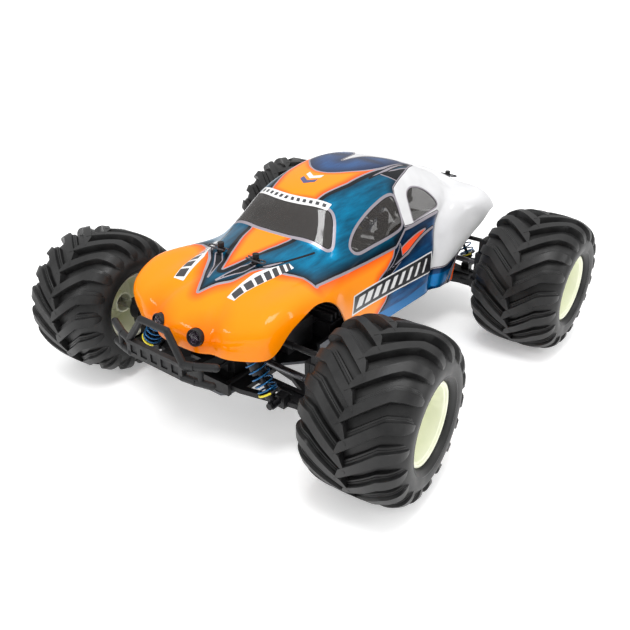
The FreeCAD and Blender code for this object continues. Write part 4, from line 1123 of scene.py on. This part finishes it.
def springs():
    blue, marked = spring_blue(), ring_marked()
    for tag, side, end in CORNERS:
        top, low = shock_line(side, end)
        d = (low - top) / np.linalg.norm(low - top)
        piece = make("spring_coil_" + tag, *coil(top, low), blue, angle=60.0)
        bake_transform(piece)
        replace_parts(piece, "spring_" + tag)
        ring = turned_piece("spring_ring_" + tag, spline(RING, 4, True), marked, 48)
        place(ring, low - d * 10.2, tuple(-d))
        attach(ring, "damper_rod_" + tag)


springs()


# ================================================================ headlights

BEZEL = [(-6, 8.5), (1.2, 8.5), (1.9, 8.2), (2.1, 7.7), (1.7, 7.2), (-1.0, 6.9), (-6, 6.9)]
BOWL = [(0.3, 6.9), (-0.8, 6.2), (-2.6, 5.0), (-4.2, 3.0), (-4.6, 1.4), (-3.0, 1.3), (-2.4, 0.9), (-2.2, 0),
        (-6.0, 0), (-6.0, 6.9)]
LENS = [(0.7, 7.1), (1.3, 5.6), (1.8, 3.2), (2.0, 0), (1.4, 0), (1.2, 3.0), (0.7, 5.4), (0.1, 7.0)]


def headlights():
    rim = moulded("lamp_rim", (0.012, 0.012, 0.013), 0.3)
    bowl = Shade("lamp_reflector")
    facets = bowl.cells(420.0)
    bowl.set(color=bowl.mix(bowl.span(facets, 0.1, 0.5), (0.30, 0.24, 0.32), (0.07, 0.05, 0.08)), metal=0.8,
             rough=0.3)
    bowl.bump(facets, 0.0008)
    lens = Shade("lamp_lens")
    lens.set(color=lens.mix(lens.noise(60.0), (0.03, 0.02, 0.03), (0.05, 0.04, 0.05)), rough=0.05, alpha=0.25,
             coat=1.0, coat_rough=0.02)
    for side, tag in ((1, "left"), (-1, "right")):
        axis = (side * LAMP_AXIS[0], *LAMP_AXIS[1:])
        origin = (side * LAMP[0], *LAMP[1:])
        for name, material, profile in (("lamp_bezel_", rim, BEZEL), ("lamp_bowl_", bowl.material, BOWL),
                                        ("lamp_glass_", lens.material, LENS)):
            piece = turned_piece(name + tag, np.array(profile) * LAMP_SCALE, material, 64)
            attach(place(piece, origin, axis), "chassis")
            if piece.name == "lamp_bezel_left":
                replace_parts(piece, "headlights")


headlights()


# ================================================================ CAD nodes

def clothe():
    """a material for each CAD node, by the start of its name"""
    looks = (
        (moulded("nylon_black", (0.009, 0.009, 0.0095), 0.42),
         "body_posts rear_bumper gear_case shock_tower upper_link_ servo_saver idler_bellcrank wheel_ tyre_ "
         "body_shell headlights"),
        (moulded("bumper_grey", (0.011, 0.0112, 0.012), 0.50, 0.00008, 700.0), "front_bumper"),
        (moulded("arm_black", (0.009, 0.009, 0.010), 0.46), "arm_ carrier_ knuckle_"),
        (brushed("plate_anodised", (0.10, 0.105, 0.115), 0.36, (1, 0.03, 1)), "chassis_plate"),
        (brushed("steel_plain", (0.20, 0.20, 0.21), 0.34, (0.05, 1, 1)),
         "driveline pinion halfshaft_ steering_rack tie_rod_"),
        (brushed("shock_anodised", (0.015, 0.12, 0.34), 0.3, (1, 1, 0.05), 0.9), "spring_"),
        (brushed("shock_black", (0.02, 0.02, 0.024), 0.3, (1, 1, 0.1), 0.6), "shock_body_ shock_shaft_"),
        (brushed("clip_wire", (0.10, 0.10, 0.11), 0.3, (0.1, 1, 1)), "body_clips"),
        (brushed("motor_can", (0.22, 0.22, 0.23), 0.3, (1, 0.05, 1)), "motor"),
        (moulded("battery_wrap", (0.02, 0.05, 0.14), 0.3, 0.00002), "battery_pack"),
        (moulded("electronics_case", (0.022, 0.022, 0.024), 0.5), "speed_controller steering_servo"),
    )
    for material, starts in looks:
        for name, node in NODES.items():
            if name.startswith(tuple(starts.split())):
                node.data.materials.clear()
                node.data.materials.append(material)


clothe()


# ================================================================ front end

def reshaped(node, name, move):
    """a copy of a CAD node whose points, in mm, are moved; its flat faces are joined and it is shaded smooth, with
    its sharp edges kept
    """
    source = NODES[node]
    mesh = source.data
    points = np.array([source.matrix_world @ v.co for v in mesh.vertices]) / MM
    piece = make(name, move(points), [tuple(f.vertices) for f in mesh.polygons], mesh.materials[0], angle=None)
    weld(piece.data)
    with editing(piece.data) as work:
        bmesh.ops.dissolve_limit(work, angle_limit=math.radians(0.5), verts=work.verts, edges=work.edges)
    sharpen(piece.data, 30.0)
    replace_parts(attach(piece, "chassis"), node)


# Forward of this y the bumper's brace and the plate's tip change; the tip, which ended at TIP, is shortened.
FRONT, TIP, TIP_SCALE = -190, -214.0, 0.28
BRACE_SHIFT = (0.0, 21.5, 27.0)


def raised_brace(points):
    """the brace runs back to the gear case, above the chassis plate's level"""
    foot = (points[:, 2] < 60) & (points[:, 1] < FRONT)
    return points + np.outer(foot, BRACE_SHIFT)


def short_tip(points):
    """the plate ends under the gear case's front mount"""
    y = points[:, 1]
    points[:, 1] = np.where(y < FRONT, FRONT - 1 + (y - TIP) * TIP_SCALE, y)
    return points


reshaped("front_bumper", "front_bumper_bars", raised_brace)
reshaped("chassis_plate", "chassis_plate_anodised", short_tip)


# ================================================================ floor, light, camera

# The floor is a light table: part of its white is its own.
FLOOR_GLOW, FLOOR_SIZE = 0.30, 12000.0
WALL_LIGHT, CEILING_LIGHT = 0.38, 1.30
CAMERA_AT = (0.41368, -0.55685, 0.41862)
CAMERA_AZIMUTH, CAMERA_ELEVATION, CAMERA_ROLL = 38.70, 28.53, -0.64
LENS_MM, SENSOR_MM = 39.9577, 36.0
SHIFT = (0.0165556, -0.0028254)


def floor():
    s = Shade("floor_white")
    s.set(color=s.mix(s.noise(3.0), (0.94, 0.94, 0.94), (0.96, 0.96, 0.96)), rough=0.8, specular=0.0,
          glow_color=(1.0, 1.0, 1.0), glow=FLOOR_GLOW)
    corners = [(x * FLOOR_SIZE, y * FLOOR_SIZE, 0) for x, y in ((-1, -1), (1, -1), (1, 1), (-1, 1))]
    make("floor", corners, [(0, 1, 2, 3)], s.material, angle=None)


def softbox(name, position, size, power, target=(0, 0, 0.1)):
    light = bpy.data.lights.new(name, "AREA")
    light.shape = "RECTANGLE"
    light.size, light.size_y = size
    light.energy = power
    obj = bpy.data.objects.new(name, light)
    obj.location = position
    obj.rotation_euler = (Vector(target) - Vector(position)).to_track_quat("-Z", "Y").to_euler()
    bpy.context.scene.collection.objects.link(obj)


def studio():
    """a white room: its ceiling is brighter than its walls, and three soft boxes add the highlights"""
    world = bpy.data.worlds.new("studio")
    world.use_nodes = True
    nodes, links = world.node_tree.nodes, world.node_tree.links
    background = nodes["Background"]
    background.inputs["Color"].default_value = (1.0, 1.0, 1.0, 1.0)
    parts, height = nodes.new("ShaderNodeSeparateXYZ"), nodes.new("ShaderNodeMapRange")
    for socket, value in (("From Min", 0.0), ("From Max", 1.0), ("To Min", WALL_LIGHT), ("To Max", CEILING_LIGHT)):
        height.inputs[socket].default_value = value
    links.new(nodes.new("ShaderNodeTexCoord").outputs["Generated"], parts.inputs["Vector"])
    links.new(parts.outputs["Z"], height.inputs["Value"])
    links.new(height.outputs["Result"], background.inputs["Strength"])
    bpy.context.scene.world = world
    softbox("key", (0.25, -0.35, 1.35), (0.45, 0.45), 7.0)
    softbox("left", (1.3, 0.3, 0.8), (0.15, 0.9), 4.0)
    softbox("front", (-0.7, -1.3, 0.8), (0.6, 0.15), 3.0)


def camera():
    data = bpy.data.cameras.new("camera")
    data.sensor_width, data.lens = SENSOR_MM, LENS_MM
    data.shift_x, data.shift_y = SHIFT
    data.clip_start, data.clip_end = 0.01, 100.0
    obj = bpy.data.objects.new("camera", data)
    turn, tilt, roll = (Matrix.Rotation(math.radians(angle), 4, axis) for angle, axis in
                        ((CAMERA_AZIMUTH, "Z"), (90 - CAMERA_ELEVATION, "X"), (CAMERA_ROLL, "Z")))
    obj.matrix_world = Matrix.Translation(CAMERA_AT) @ turn @ tilt @ roll
    bpy.context.scene.collection.objects.link(obj)
    bpy.context.scene.camera = obj


floor()
studio()
camera()
bpy.context.scene.view_settings.view_transform = "Standard"


def plain(box):
    return [[float(v) for v in corner] for corner in box]
